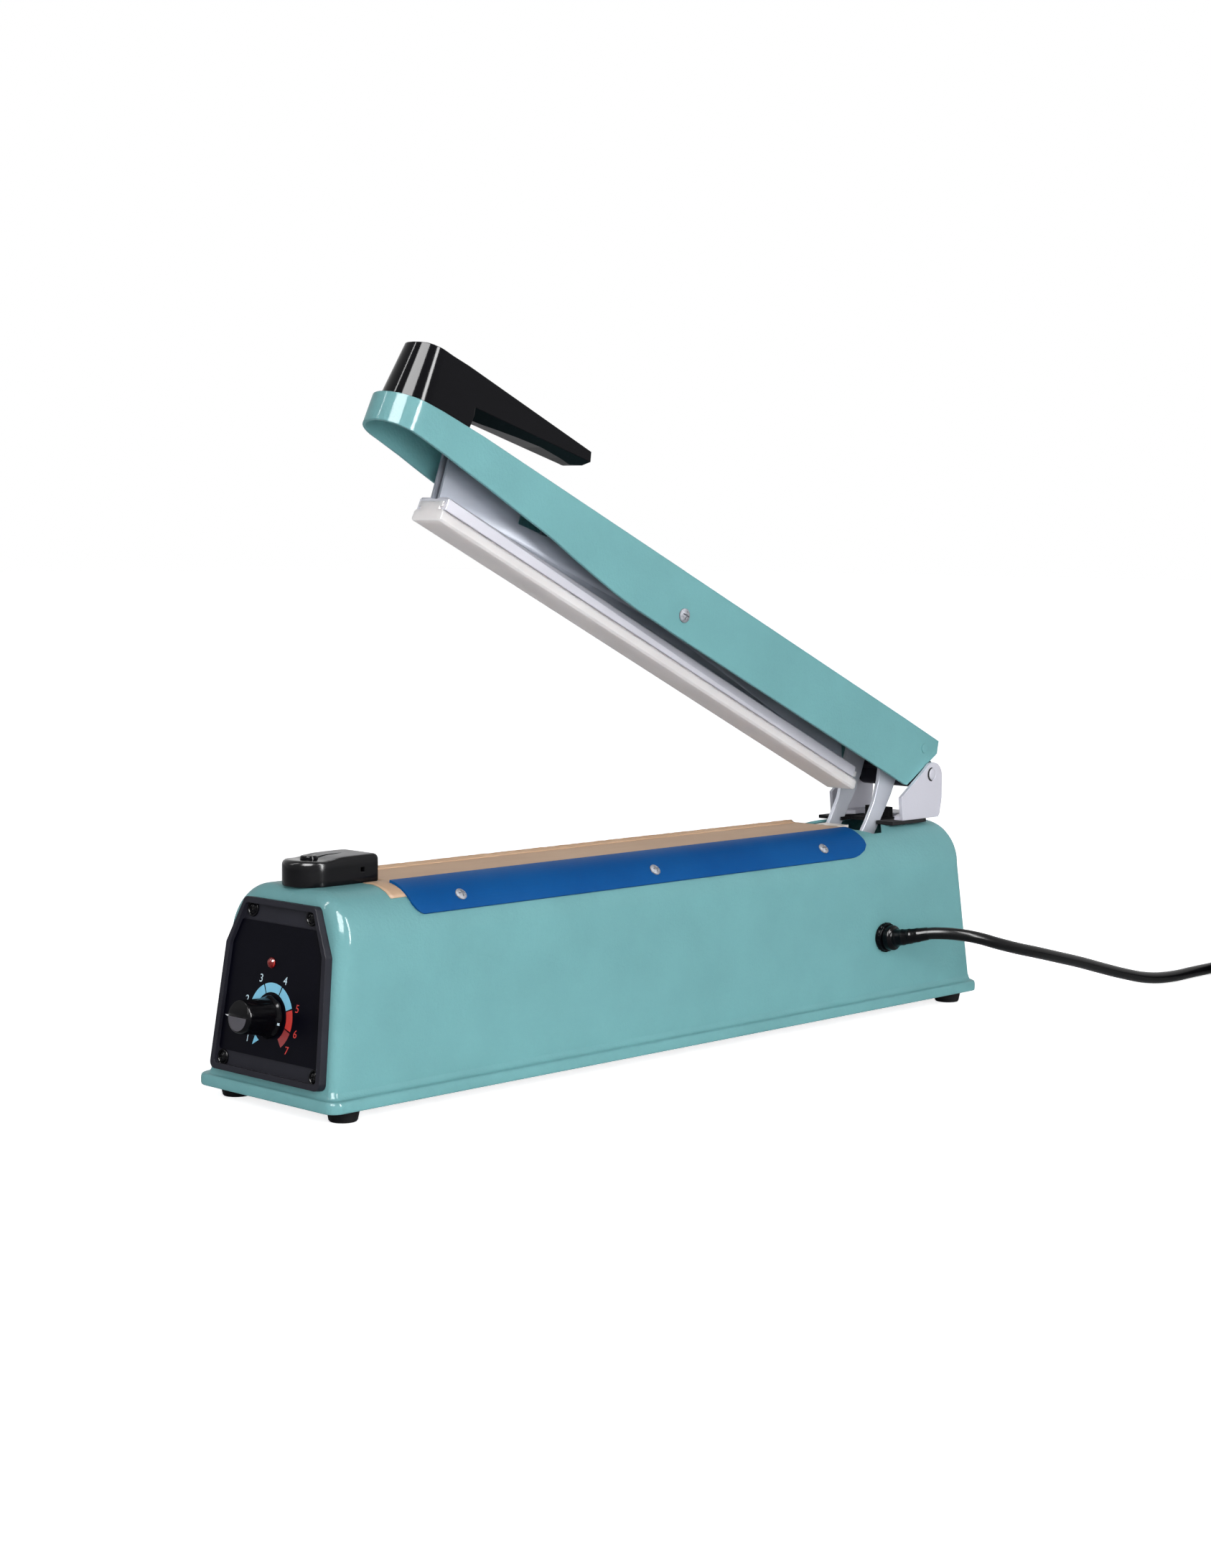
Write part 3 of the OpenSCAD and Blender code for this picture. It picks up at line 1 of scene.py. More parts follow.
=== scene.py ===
"""Looks of the impulse heat sealer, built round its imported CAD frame. Metres, +Y towards the hinge."""
import json
import math
import random

import bmesh
import bpy
from mathutils import Matrix, Vector
from mathutils.geometry import interpolate_bezier


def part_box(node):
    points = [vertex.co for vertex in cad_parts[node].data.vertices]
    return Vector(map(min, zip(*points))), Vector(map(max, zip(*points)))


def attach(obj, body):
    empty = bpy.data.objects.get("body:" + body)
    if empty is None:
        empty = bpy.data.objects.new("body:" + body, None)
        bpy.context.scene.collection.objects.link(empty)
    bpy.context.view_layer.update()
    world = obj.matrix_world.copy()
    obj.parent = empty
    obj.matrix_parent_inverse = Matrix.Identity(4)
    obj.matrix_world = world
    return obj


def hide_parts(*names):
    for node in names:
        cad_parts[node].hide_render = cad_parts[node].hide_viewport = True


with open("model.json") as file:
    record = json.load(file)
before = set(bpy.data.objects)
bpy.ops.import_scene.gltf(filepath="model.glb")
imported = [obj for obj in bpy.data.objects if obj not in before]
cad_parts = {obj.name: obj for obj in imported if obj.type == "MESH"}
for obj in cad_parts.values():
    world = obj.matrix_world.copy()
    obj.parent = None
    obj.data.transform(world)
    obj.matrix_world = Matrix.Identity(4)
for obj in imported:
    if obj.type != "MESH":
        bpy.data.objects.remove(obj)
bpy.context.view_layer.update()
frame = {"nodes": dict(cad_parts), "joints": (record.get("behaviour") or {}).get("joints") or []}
nodes = frame["nodes"]
MM = 0.001


# ---------- small helpers ----------

def linked(name, data):
    """New object in the scene."""
    made = bpy.data.objects.new(name, data)
    bpy.context.collection.objects.link(made)
    return made


def polar(radius, degrees, x=0.0, y=0.0):
    """Point at an angle round (x, y)."""
    angle = math.radians(degrees)
    return x + radius * math.cos(angle), y + radius * math.sin(angle)


def span(start, end, steps):
    """Evenly spaced values from start to end."""
    return [start + (end - start) * k / steps for k in range(steps + 1)]


def smoothstep(t):
    """From 0 to 1, with soft ends."""
    t = max(0.0, min(1.0, t))
    return t * t * (3 - 2 * t)


# ---------- camera ----------

IMAGE_H = 2184
FOCAL_PX = 3698.889
SENSOR = 36.0
CAMERA_AT = Vector((878.07, -908.02, 245.684)) * MM
YAW, PITCH, ROLL = math.radians(44.389), math.radians(5.402), math.radians(0.368)
SHIFT_X = 0.0022


def add_camera():
    """Camera at the photograph's viewpoint."""
    forward = Vector((-math.sin(YAW) * math.cos(PITCH), math.cos(YAW) * math.cos(PITCH),
                      -math.sin(PITCH)))
    right = forward.cross(Vector((0, 0, 1))).normalized()
    up = right.cross(forward)
    turned_right = right * math.cos(ROLL) + up * math.sin(ROLL)
    turned_up = up * math.cos(ROLL) - right * math.sin(ROLL)
    data = bpy.data.cameras.new("camera")
    data.sensor_fit = "VERTICAL"
    data.sensor_height = SENSOR
    data.lens = FOCAL_PX / IMAGE_H * SENSOR
    data.shift_x = SHIFT_X
    data.clip_start, data.clip_end = 0.05, 60
    camera = linked("camera", data)
    turn = Matrix((turned_right, turned_up, -forward)).transposed()
    camera.matrix_world = Matrix.Translation(CAMERA_AT) @ turn.to_4x4()
    bpy.context.scene.camera = camera
    bpy.context.scene.view_settings.view_transform = "Standard"


add_camera()


# ---------- sizes taken from the frame ----------

low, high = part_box("base_housing")
BASE_FRONT, BASE_REAR = low.y, high.y
BASE_HALF = high.x
FOOT_Z, DECK_Z = low.z, high.z
gland_low, gland_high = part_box("cord_gland")
GLAND = Vector((gland_high.x, (gland_low.y + gland_high.y) / 2, (gland_low.z + gland_high.z) / 2))
hinge_joint = next(j for j in frame["joints"] if j["name"] == "arm_hinge")
HINGE = Vector(hinge_joint["pos_m"])
OPEN_ANGLE = math.radians(hinge_joint["range_deg"][1])


# ---------- material helpers ----------

def new_material(name):
    """New material, with its node tree and shader."""
    material = bpy.data.materials.new(name)
    material.use_nodes = True
    tree = material.node_tree
    return material, tree, tree.nodes["Principled BSDF"]


def settle(made, **values):
    """Sets a node's properties or named inputs."""
    for key, value in values.items():
        if hasattr(made, key):
            setattr(made, key, value)
        else:
            made.inputs[key.replace("_", " ")].default_value = value
    return made


def node(tree, kind, **values):
    return settle(tree.nodes.new(kind), **values)


def coordinates(tree, scale=(1, 1, 1)):
    """Object coordinates, stretched by scale."""
    mapping = node(tree, "ShaderNodeMapping", Scale=scale)
    tree.links.new(node(tree, "ShaderNodeTexCoord").outputs["Object"], mapping.inputs["Vector"])
    return mapping.outputs["Vector"]


def noise(tree, vector, scale, detail=3.0, rough=0.55):
    made = node(tree, "ShaderNodeTexNoise", Scale=scale, Detail=detail, Roughness=rough)
    tree.links.new(vector, made.inputs["Vector"])
    return made.outputs["Fac"]


def ramp(tree, value, stops):
    """Colour ramp with (position, colour) stops."""
    made = node(tree, "ShaderNodeValToRGB")
    elements = made.color_ramp.elements
    while len(elements) < len(stops):
        elements.new(0.5)
    for element, (position, colour) in zip(elements, stops):
        element.position = position
        element.color = (*colour, 1)
    tree.links.new(value, made.inputs["Fac"])
    return made.outputs["Color"]


def spread(tree, value, low_value, high_value):
    """value, from 0 to 1, spread between two numbers."""
    made = node(tree, "ShaderNodeMapRange", To_Min=low_value, To_Max=high_value)
    tree.links.new(value, made.inputs["Value"])
    return made.outputs["Result"]


def bump(tree, shader, height, distance, strength=1.0, edge=0.0, socket="Normal"):
    """Bump on the shader, over edges rounded by edge metres."""
    made = node(tree, "ShaderNodeBump", Strength=strength, Distance=distance)
    tree.links.new(height, made.inputs["Height"])
    if edge:
        rounding = node(tree, "ShaderNodeBevel", samples=4, Radius=edge)
        tree.links.new(rounding.outputs["Normal"], made.inputs["Normal"])
    tree.links.new(made.outputs["Normal"], shader.inputs[socket])


def srgb(r, g, b):
    """Linear colour of an sRGB colour given as 0 to 255."""
    def linear(c):
        c /= 255
        return c / 12.92 if c <= 0.04045 else ((c + 0.055) / 1.055) ** 2.4
    return (linear(r), linear(g), linear(b))


def spotted(tree, shader, where, spots, dark, light, gloss, rough):
    """Two tones in soft spots, and uneven gloss. spots and gloss are each a noise's scale and detail."""
    tree.links.new(ramp(tree, noise(tree, where, *spots), [(0.3, dark), (0.7, light)]),
                   shader.inputs["Base Color"])
    tree.links.new(spread(tree, noise(tree, where, *gloss), *rough), shader.inputs["Roughness"])


COAT_ROUGH, PEEL_SCALE = 0.05, 330


def mottled(name, dark, light, rough=(0.4, 0.5), spot=40, grain=900, grain_depth=0.00002,
            metal=0.0, coat=0.0, edge=0.0003, stretch=(1, 1, 1), shine=0.5, peel=0.0):
    """Material with two close tones in soft spots, a fine grain, uneven gloss and a wavy clear coat."""
    material, tree, shader = new_material(name)
    where = coordinates(tree, stretch)
    spotted(tree, shader, where, (spot, 5), dark, light, (spot * 2.7, 4), rough)
    bump(tree, shader, noise(tree, where, grain, 2), grain_depth, 1.0, edge)
    if peel:
        bump(tree, shader, noise(tree, where, PEEL_SCALE, 2), peel, 1.0, edge, "Coat Normal")
    settle(shader, Metallic=metal, Coat_Weight=coat, Coat_Roughness=COAT_ROUGH,
           Specular_IOR_Level=shine)
    return material


def tone(colour, factor):
    return tuple(min(1.0, c * factor) for c in colour)


def around(name, colour, swing=0.08, **more):
    """Mottled material with its two tones on either side of a colour."""
    return mottled(name, tone(colour, 1 - swing), tone(colour, 1 + swing), **more)


# ---------- materials ----------

TEAL = srgb(111, 163, 166)
teal = around("teal_enamel", TEAL, 0.05, rough=(0.3, 0.42), spot=26, grain=620,
              grain_depth=0.00026, edge=0.0006, shine=0.02, coat=0.18, peel=0.00006)
black_satin = around("panel_moulding", srgb(34, 34, 42), 0.12, rough=(0.34, 0.46), spot=60,
                     grain=1500, grain_depth=0.00001, edge=0.0005, shine=0.08)
label_print = around("label_film", srgb(4, 4, 14), 0.1, rough=(0.3, 0.42), spot=35,
                     grain=2400, grain_depth=0.000004, edge=0, shine=0.04)
knob_black = around("knob_plastic", srgb(6, 6, 9), 0.12, rough=(0.12, 0.2), spot=90,
                    grain=900, grain_depth=0.000006, edge=0.0004, shine=0.09)
gloss_black = around("gloss_moulding", srgb(8, 8, 12), 0.14, rough=(0.06, 0.1), spot=30,
                     grain=300, grain_depth=0.000006, edge=0.0006, shine=0.08)
switch_black = around("switch_moulding", srgb(10, 10, 13), 0.14, rough=(0.16, 0.24), spot=40,
                      grain=500, grain_depth=0.00002, edge=0.0005, shine=0.14)
# Paler copy of the block's black for its upward faces: painted reflection of light from above.
switch_top_painted_reflection = around("switch_top_painted_reflection", srgb(66, 67, 71), 0.12, rough=(0.3, 0.4), spot=60,
                    grain=900, grain_depth=0.00001, edge=0.0005, shine=0.3)
rubber_black = around("black_rubber", srgb(12, 12, 14), 0.15, rough=(0.55, 0.7), spot=70,
                      grain=1300, grain_depth=0.00003, edge=0.0004, shine=0.1)
sheath = around("cord_sheath", srgb(9, 9, 11), 0.15, rough=(0.2, 0.3), spot=60, grain=900,
                grain_depth=0.000015, edge=0, shine=0.12)
blue = mottled("blue_enamel", srgb(2, 70, 134), srgb(10, 82, 146), rough=(0.34, 0.46), spot=14,
               grain=520, grain_depth=0.00002, edge=0.0004, shine=0.03)
plated = around("zinc_plate", (0.6, 0.61, 0.64), 0.06, rough=(0.2, 0.36), spot=80, grain=1200,
                grain_depth=0.00001, metal=1.0, edge=0.0003)
nickel = around("nickel_plate", srgb(196, 195, 205), 0.02, rough=(0.34, 0.42), spot=30, grain=1600,
                grain_depth=0.000003, metal=0.1, edge=0.0004, shine=0.4)
blade_steel = around("blade_steel", srgb(188, 192, 201), 0.03, rough=(0.34, 0.44), spot=40,
                     grain=1400, grain_depth=0.000004, metal=0.2, edge=0.0004, shine=0.4)
spring_steel = around("spring_steel", (0.3, 0.3, 0.32), 0.1, rough=(0.3, 0.4), spot=200,
                      metal=1.0)
aluminium = around("bar_aluminium", (0.66, 0.67, 0.69), 0.06, rough=(0.3, 0.45), spot=18, grain=900,
                   grain_depth=0.00001, metal=1.0, stretch=(1, 0.05, 1))
holder_grey = around("holder_aluminium", srgb(186, 185, 194), 0.05, rough=(0.34, 0.46), spot=60,
                     grain=900, grain_depth=0.000012, metal=0.15, stretch=(1, 0.06, 1))
# The webs take the holder's aluminium made darker: painted shade under the arm.
web_painted_shade = around("web_aluminium_painted_shade", srgb(128, 132, 142), 0.16, rough=(0.38, 0.5), spot=70,
                  grain=900, grain_depth=0.00002, metal=0.15, stretch=(1, 0.05, 1))
# Grey for the lower half of the knob's face: a painted reflection of the floor.
knob_face_painted_reflection = around("knob_face", srgb(84, 82, 88), 0.06, rough=(0.3, 0.4), spot=200, shine=0.1)
nib_grey = around("knob_nib", srgb(226, 228, 232), 0.2, rough=(0.2, 0.3), spot=300)
strip_zinc = around("strip_zinc", srgb(126, 128, 134), 0.35, rough=(0.55, 0.7), spot=700, grain=1800,
                    grain_depth=0.00008, metal=0.1, edge=0.0003, shine=0.15)
brass = around("brass", (0.65, 0.47, 0.2), 0.08, rough=(0.25, 0.4), spot=90, metal=1.0)
alloy = around("heated_alloy", (0.36, 0.33, 0.3), 0.15, rough=(0.35, 0.5), spot=60, metal=1.0)
glass_tape = around("glass_tape", srgb(226, 219, 198), 0.05, rough=(0.7, 0.85), spot=50,
                    grain=2500, grain_depth=0.00006)
core_steel = around("core_steel", srgb(88, 84, 82), 0.15, rough=(0.5, 0.7), spot=40, grain=600,
                    grain_depth=0.00005, metal=0.5)
winding = around("winding_tape", srgb(196, 150, 66), 0.1, rough=(0.35, 0.5), spot=40, grain=900)
board_green = around("board_green", srgb(38, 104, 66), 0.1, rough=(0.35, 0.5), spot=70)
component = around("component", srgb(52, 52, 58), 0.3, rough=(0.3, 0.5), spot=120)


def silicone_material():
    """Milky silicone, slightly see-through at its edges."""
    material, tree, shader = new_material("white_silicone")
    where = coordinates(tree, (1, 0.2, 1))
    spotted(tree, shader, where, (40, 4), srgb(213, 206, 205), srgb(227, 220, 219), (90, 3),
            (0.3, 0.45))
    bump(tree, shader, noise(tree, where, 700, 2), 0.00001, 1.0, 0.0006)
    settle(shader, Subsurface_Weight=1.0, Subsurface_Radius=(1.0, 0.95, 0.92),
           Subsurface_Scale=0.014)
    return material


WEAVE_SCALE = 420


def cloth_material():
    """Coated glass cloth: a fine plain weave under a tan coating, with faint wear."""
    material, tree, shader = new_material("coated_cloth")
    where = coordinates(tree)
    weave = []
    for axis in ("X", "Y"):
        wave = node(tree, "ShaderNodeTexWave", bands_direction=axis, Scale=WEAVE_SCALE,
                    Distortion=0.6)
        tree.links.new(where, wave.inputs["Vector"])
        weave.append(wave.outputs["Fac"])
    both = node(tree, "ShaderNodeMath", operation="MULTIPLY")
    tree.links.new(weave[0], both.inputs[0])
    tree.links.new(weave[1], both.inputs[1])
    blotches = noise(tree, coordinates(tree, (1, 0.35, 1)), 26, 5)
    colour = ramp(tree, blotches, [(0.3, srgb(190, 154, 122)), (0.55, srgb(204, 170, 138)),
                                   (0.8, srgb(214, 186, 158))])
    threads = node(tree, "ShaderNodeMix", data_type="RGBA", blend_type="MULTIPLY",
                   B=(*srgb(206, 188, 168), 1))
    tree.links.new(spread(tree, both.outputs["Value"], 0.25, 0.0), threads.inputs["Factor"])
    tree.links.new(colour, threads.inputs["A"])
    tree.links.new(threads.outputs["Result"], shader.inputs["Base Color"])
    tree.links.new(spread(tree, blotches, 0.5, 0.68), shader.inputs["Roughness"])
    settle(shader, Specular_IOR_Level=0.2)
    bump(tree, shader, both.outputs["Value"], 0.00004, 0.7)
    return material


def lens_material():
    """Clear red lens."""
    material, tree, shader = new_material("lamp_lens")
    spotted(tree, shader, coordinates(tree), (500, 2), srgb(96, 12, 14), srgb(128, 20, 18),
            (300, 2), (0.08, 0.16))
    settle(shader, Specular_IOR_Level=0.3)
    return material


silicone = silicone_material()
coated_cloth = cloth_material()
red_lens = lens_material()
print_blue = around("print_blue", srgb(120, 196, 226), 0.05, rough=(0.4, 0.5), spot=300, edge=0)
print_white = around("print_white", srgb(190, 214, 224), 0.05, rough=(0.4, 0.5), spot=300, edge=0)
print_red = around("print_red", srgb(196, 34, 22), 0.08, rough=(0.4, 0.5), spot=300, edge=0)
rim_red = around("rim_red", srgb(196, 44, 36), 0.1, rough=(0.15, 0.25), spot=200, edge=0)
print_dark_red = around("print_dark_red", srgb(142, 28, 30), 0.08, rough=(0.4, 0.5), spot=300,
                        edge=0)

NODE_MATERIALS = {
    teal: ["base_housing", "arm_cover", "arm_rivets"],
    strip_zinc: ["rock_screw", "strip_screws"],
    plated: ["bottom_plate", "plate_screws", "foot_screws", "switch_screws",
             "transformer_screws", "transformer_bracket", "bracket_screws", "handle_screws",
             "hinge_pin", "pin_clips", "fork_rod", "spring_anchor",
             "potentiometer", "potentiometer_shaft", "plug_pins", "board_pillars"],
    rubber_black: ["rubber_feet", "slot_gasket", "arm_bumper"],
    black_satin: ["control_panel", "microswitch", "hinge_block", "gland_nut"],
    knob_black: ["timer_knob", "switch_button", "cord_gland", "panel_screws"],
    label_print: ["dial_label"],
    gloss_black: ["handle"],
    switch_black: ["switch_housing"],
    red_lens: ["lamp_lens"],
    spring_steel: ["button_spring", "return_spring", "rock_springs"],
    board_green: ["timer_board"],
    component: ["board_parts"],
    aluminium: ["sealing_bar"],
    holder_grey: ["press_bar"],
    glass_tape: ["insulating_strip"],
    alloy: ["heating_band", "rear_terminal"],
    brass: ["front_terminal"],
    coated_cloth: ["sealing_cloth"],
    blue: ["right_clamp_strip", "left_clamp_strip"],
    core_steel: ["transformer_core"],
    winding: ["transformer_coil"],
    nickel: ["hinge_bracket"],
    blade_steel: ["lift_fork"],
    silicone: ["press_rubber"],
    sheath: ["strain_relief", "power_cord", "cord_coil", "plug_lead", "mains_plug"],
}


def dress_cad_nodes():
    """Gives every CAD node its material."""
    for material, names in NODE_MATERIALS.items():
        for name in names:
            slots = nodes[name].data.materials
            if not len(slots):
                slots.append(material)
            for i in range(len(slots)):
                slots[i] = material


dress_cad_nodes()


# ---------- mesh helpers ----------

def mesh_object(name, mesh, material, body, replaces=()):
    """Object of a finished mesh, riding on a body."""
    made = linked(name, mesh)
    mesh.materials.append(material)
    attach(made, body)
    if replaces:
        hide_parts(*replaces)
    return made


def finished_mesh(bm, name, smooth=True):
    """Mesh of a bmesh, with joined vertices and its faces turned outwards."""
    bmesh.ops.remove_doubles(bm, verts=bm.verts, dist=0.00001)
    bmesh.ops.recalc_face_normals(bm, faces=bm.faces)
    mesh = bpy.data.meshes.new(name)
    bm.to_mesh(mesh)
    bm.free()
    if smooth:
        mesh.polygons.foreach_set("use_smooth", [True] * len(mesh.polygons))
    return mesh


def lofted(name, rows, place=Matrix(), smooth=True, closed=False, ring=False, ends=False):
    """Mesh between rows of points in millimetres, then placed by a matrix. Rows may be closed, the
    last may meet the first as in a ring, and both end rows may have a face."""
    bm = bmesh.new()
    made = [[bm.verts.new(Vector(p) * MM) for p in row] for row in rows]
    n = len(rows[0])
    pairs = list(zip(made, made[1:])) + ([(made[-1], made[0])] if ring else [])
    for low_row, high_row in pairs:
        for i in range(n if closed else n - 1):
            j = (i + 1) % n
            bm.faces.new((low_row[i], low_row[j], high_row[j], high_row[i]))
    if ends:
        bm.faces.new(made[0])
        bm.faces.new(made[-1])
    bmesh.ops.transform(bm, matrix=place, verts=bm.verts)
    return finished_mesh(bm, name, smooth)


def solid(name, rows, place=Matrix(), smooth=False):
    """Closed mesh between closed rows of points in millimetres, then placed by a matrix."""
    return lofted(name, rows, place, smooth, closed=True, ends=True)


def box_mesh(name, low_corner, high_corner):
    """Closed box between two corners in millimetres, for cutting."""
    bm = bmesh.new()
    bmesh.ops.create_cube(bm, size=1)
    a, b = Vector(low_corner) * MM, Vector(high_corner) * MM
    for v in bm.verts:
        v.co = Vector((a[i] + (v.co[i] + 0.5) * (b[i] - a[i]) for i in range(3)))
    return finished_mesh(bm, name, smooth=False)


def turned(name, profile, place, swell=None, steps=48):
    """Closed mesh turned round Z from (radius, height) points in millimetres, then placed by a matrix.
    swell(height, angle) is added to the radius."""
    rows = []
    for radius, height in profile:
        row = []
        for k in range(steps):
            angle = 360 * k / steps
            more = swell(height, math.radians(angle)) if swell else 0
            row.append((*polar(radius + more, angle), height))
        rows.append(row)
    mesh = solid(name, rows, place, smooth=True)
    mesh.set_sharp_from_angle(angle=math.radians(35))
    return mesh


def cylinder_mesh(name, foot, axis, radius, length, steps=48):
    """Closed cylinder for cutting: foot and axis in millimetres."""
    bm = bmesh.new()
    turn = Vector(axis).to_track_quat("Z", "Y").to_matrix().to_4x4()
    place = Matrix.Translation(Vector(foot) * MM) @ turn @ Matrix.Translation((0, 0, length / 2 * MM))
    bmesh.ops.create_cone(bm, cap_ends=True, segments=steps, radius1=radius * MM,
                          radius2=radius * MM, depth=length * MM, matrix=place)
    return finished_mesh(bm, name, smooth=False)


def evaluated_mesh(obj):
    """Mesh of an object as its modifiers or its text make it."""
    bpy.context.view_layer.update()
    shown = obj.evaluated_get(bpy.context.evaluated_depsgraph_get())
    return bpy.data.meshes.new_from_object(shown)


def cut(obj, *cutters):
    """Cuts closed meshes out of an object's mesh, and keeps its smooth look by angle."""
    helpers = [linked(cutter.name, cutter) for cutter in cutters]
    for helper in helpers:
        modifier = obj.modifiers.new(helper.name, "BOOLEAN")
        modifier.object = helper
        modifier.operation = "DIFFERENCE"
        modifier.solver = "EXACT"
    result = evaluated_mesh(obj)
    obj.modifiers.clear()
    old = obj.data
    obj.data = result
    bpy.data.meshes.remove(old)
    for helper, cutter in zip(helpers, cutters):
        bpy.data.objects.remove(helper)
        bpy.data.meshes.remove(cutter)
    result.set_sharp_from_angle(angle=math.radians(40))


def thicken(obj, thickness, offset):
    """Gives a sheet its thickness, in millimetres."""
    sheet = obj.modifiers.new("thickness", "SOLIDIFY")
    sheet.thickness = thickness * MM
    sheet.offset = offset
    return sheet


# ---------- mains lead ----------

CORD_D = 6.2 * MM

# Route from the middle of the gland's face, in millimetres, as in the CAD source
RELIEF_ROUTE = [(0, 0, 0), (5, 0.2, 0.5), (10, 1.2, 1.4), (15, 3.2, 2.5), (20, 6.4, 3.6)]
LEAD_ROUTE = [(26, 11, 3.9), (32, 17.5, 3.2), (37, 26, 1.2), (40.5, 37, -2.2),
              (42.5, 51, -6), (43.5, 68, -10), (43.5, 88, -14.8), (43, 108, -19.6),
              (42.5, 130, -25.4), (42.5, 152, -31), (42.5, 174, -35.6), (42.5, 196, -37.7),
              (42.5, 222, -37.7), (42.5, 254, -37.7)]
TAIL_ROUTE = [(92, 300, -25.2), (104, 296.5, -25.2), (115.5, 290, -25.2), (126, 280.5, -25),
              (134.5, 268, -24.3), (140, 254, -23.3), (142, 243, -22.5), (142, 232, -22.3)]
COIL_MIDDLE = (80.5, 266)
COIL_STEP = 10
# Turns of the coil: degrees travelled from where the lead meets it, radius and height in millimetres
COIL_STAGES = [(0, 38.2, 3.1), (300, 38.2, 3.1), (360, 31.6, 3.1), (600, 31.6, 3.1),
               (660, 31.6, 9.3), (900, 31.6, 9.3), (960, 38.2, 9.3), (1200, 38.2, 9.3),
               (1260, 34.9, 15.5), (1530, 34.9, 15.5)]


def coil_route():
    """Points of the coil's turns, clockwise seen from above."""
    def point(travelled, radius, height):
        return (*polar(radius, 180 - travelled, *COIL_MIDDLE), height - GLAND.z / MM)

    points = []
    for (a0, r0, z0), (a1, r1, z1) in zip(COIL_STAGES, COIL_STAGES[1:]):
        steps = (a1 - a0) // COIL_STEP
        for i in range(steps):
            t = i / steps
            ease = smoothstep(t)
            points.append(point(a0 + (a1 - a0) * t, r0 + (r1 - r0) * ease, z0 + (z1 - z0) * ease))
    return points + [point(*COIL_STAGES[-1])]


def smooth_curve(name, points, radius, material):
    """Round tube along a smooth spline through the points."""
    data = bpy.data.curves.new(name, "CURVE")
    data.dimensions = "3D"
    data.bevel_depth = radius
    data.bevel_resolution = 5
    data.use_fill_caps = True
    data.resolution_u = 4
    spline = data.splines.new("BEZIER")
    spline.bezier_points.add(len(points) - 1)
    for bezier, point in zip(spline.bezier_points, points):
        bezier.co = point
        bezier.handle_left_type = bezier.handle_right_type = "AUTO"
    data.materials.append(material)
    return linked(name, data)


def curve_length(obj):
    """Length along the curve's one spline."""
    total = 0.0
    points = list(obj.data.splines[0].bezier_points)
    for a, b in zip(points, points[1:]):
        fine = interpolate_bezier(a.co, a.handle_right, b.handle_left, b.co, 24)
        total += sum((q - p).length for p, q in zip(fine, fine[1:]))
    return total


def path_at(points, share):
    """Point and direction of a Catmull-Rom curve through the points, at a share of its spans."""
    spans = len(points) - 1
    i = min(spans - 1, int(share * spans))
    t = share * spans - i
    p0, p1, p2, p3 = (Vector(points[max(0, min(spans, i + k))]) for k in (-1, 0, 1, 2))
    place = 0.5 * (2 * p1 + (p2 - p0) * t + (2 * p0 - 5 * p1 + 4 * p2 - p3) * t * t
                   + (3 * p1 - p0 - 3 * p2 + p3) * t ** 3)
    course = 0.5 * ((p2 - p0) + 2 * (2 * p0 - 5 * p1 + 4 * p2 - p3) * t
                    + 3 * (3 * p1 - p0 - 3 * p2 + p3) * t * t)
    return place, course.normalized()


# Collar and ribbed taper of the strain relief: shares of its length, and millimetres
COLLAR_END, COLLAR_R, COLLAR_BELLY = 0.21, 5.7, 0.7
TAPER_R, TAPER_BY, RIB, RIBS_END = 4.35, 1.1, 0.16, 0.8


def relief_radius(share):
    """Radius of the strain relief in millimetres: a thick collar, then a ribbed taper."""
    if share < COLLAR_END:
        t = share / COLLAR_END
        return COLLAR_R + COLLAR_BELLY * min(1, 6 * t) - 0.9 * max(0, 6 * t - 5)
    t = (share - COLLAR_END) / (1 - COLLAR_END)
    rib = RIB * max(0.0, math.sin(9 * math.pi * t)) if t < RIBS_END else 0
    return TAPER_R - TAPER_BY * t + rib


def strain_relief():
    """Moulded sleeve where the lead leaves the gland."""
    rows = []
    steps, sides = 60, 28
    for i in range(steps + 1):
        place, course = path_at(RELIEF_ROUTE, i / steps)
        across = course.cross(Vector((0, 0, 1))).normalized()
        upward = across.cross(course)
        row = []
        for k in range(sides):
            aside, up = polar(relief_radius(i / steps), 360 * k / sides)
            row.append(GLAND / MM + place + across * aside + upward * up)
        rows.append(row)
    mesh = solid("relief_sleeve", rows, smooth=True)
    return mesh_object("relief_sleeve", mesh, knob_black, "base", ["strain_relief"])


def mains_lead():
    """Lead from the gland to the plug, lying in a coil."""
    route = RELIEF_ROUTE + LEAD_ROUTE + coil_route()[1:] + TAIL_ROUTE
    points = [GLAND + Vector(p) * MM for p in route]
    lead = smooth_curve("mains_lead", points, CORD_D / 2, sheath)
    bpy.context.view_layer.update()
    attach(lead, "base")
    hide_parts("power_cord", "cord_coil", "plug_lead")
    length = curve_length(lead)
    print("lead length", round(length, 4))
    strain_relief()


mains_lead()


# ---------- housing ----------

# Form of the pressed housing in millimetres, as in the CAD source
WALL_X, FLANGE_TOP, LEAN = 42.0, FOOT_Z / MM + 5, 3.5
SHOULDER_X, SHOULDER_Z, SHOULDER_R = 16.5, 73.0, 22.0
EDGE_R, CORNER_R = 6.0, 3.5
FACE_FOOT_Y, FACE_SLOPE = -212.36, math.tan(math.radians(7.2))
REAR_FOOT_Y, REAR_TOP_Y = 227.49, 221.99
SKIN = 1.6
DECK = DECK_Z / MM
BAR_HALF, BAR_FRONT, SLOT_Y = 15.5, -161.0, 152.99
SWITCH_HOLE_HALF, SWITCH_HOLE_Y = 5, (-192, -178)
WINDOW_HALF, WINDOW_Z = 23, (26, 70)
CUT_OVER = 4


def face_y(z):
    """Front face's place along Y at a height."""
    return FACE_FOOT_Y + (z - FLANGE_TOP) * FACE_SLOPE


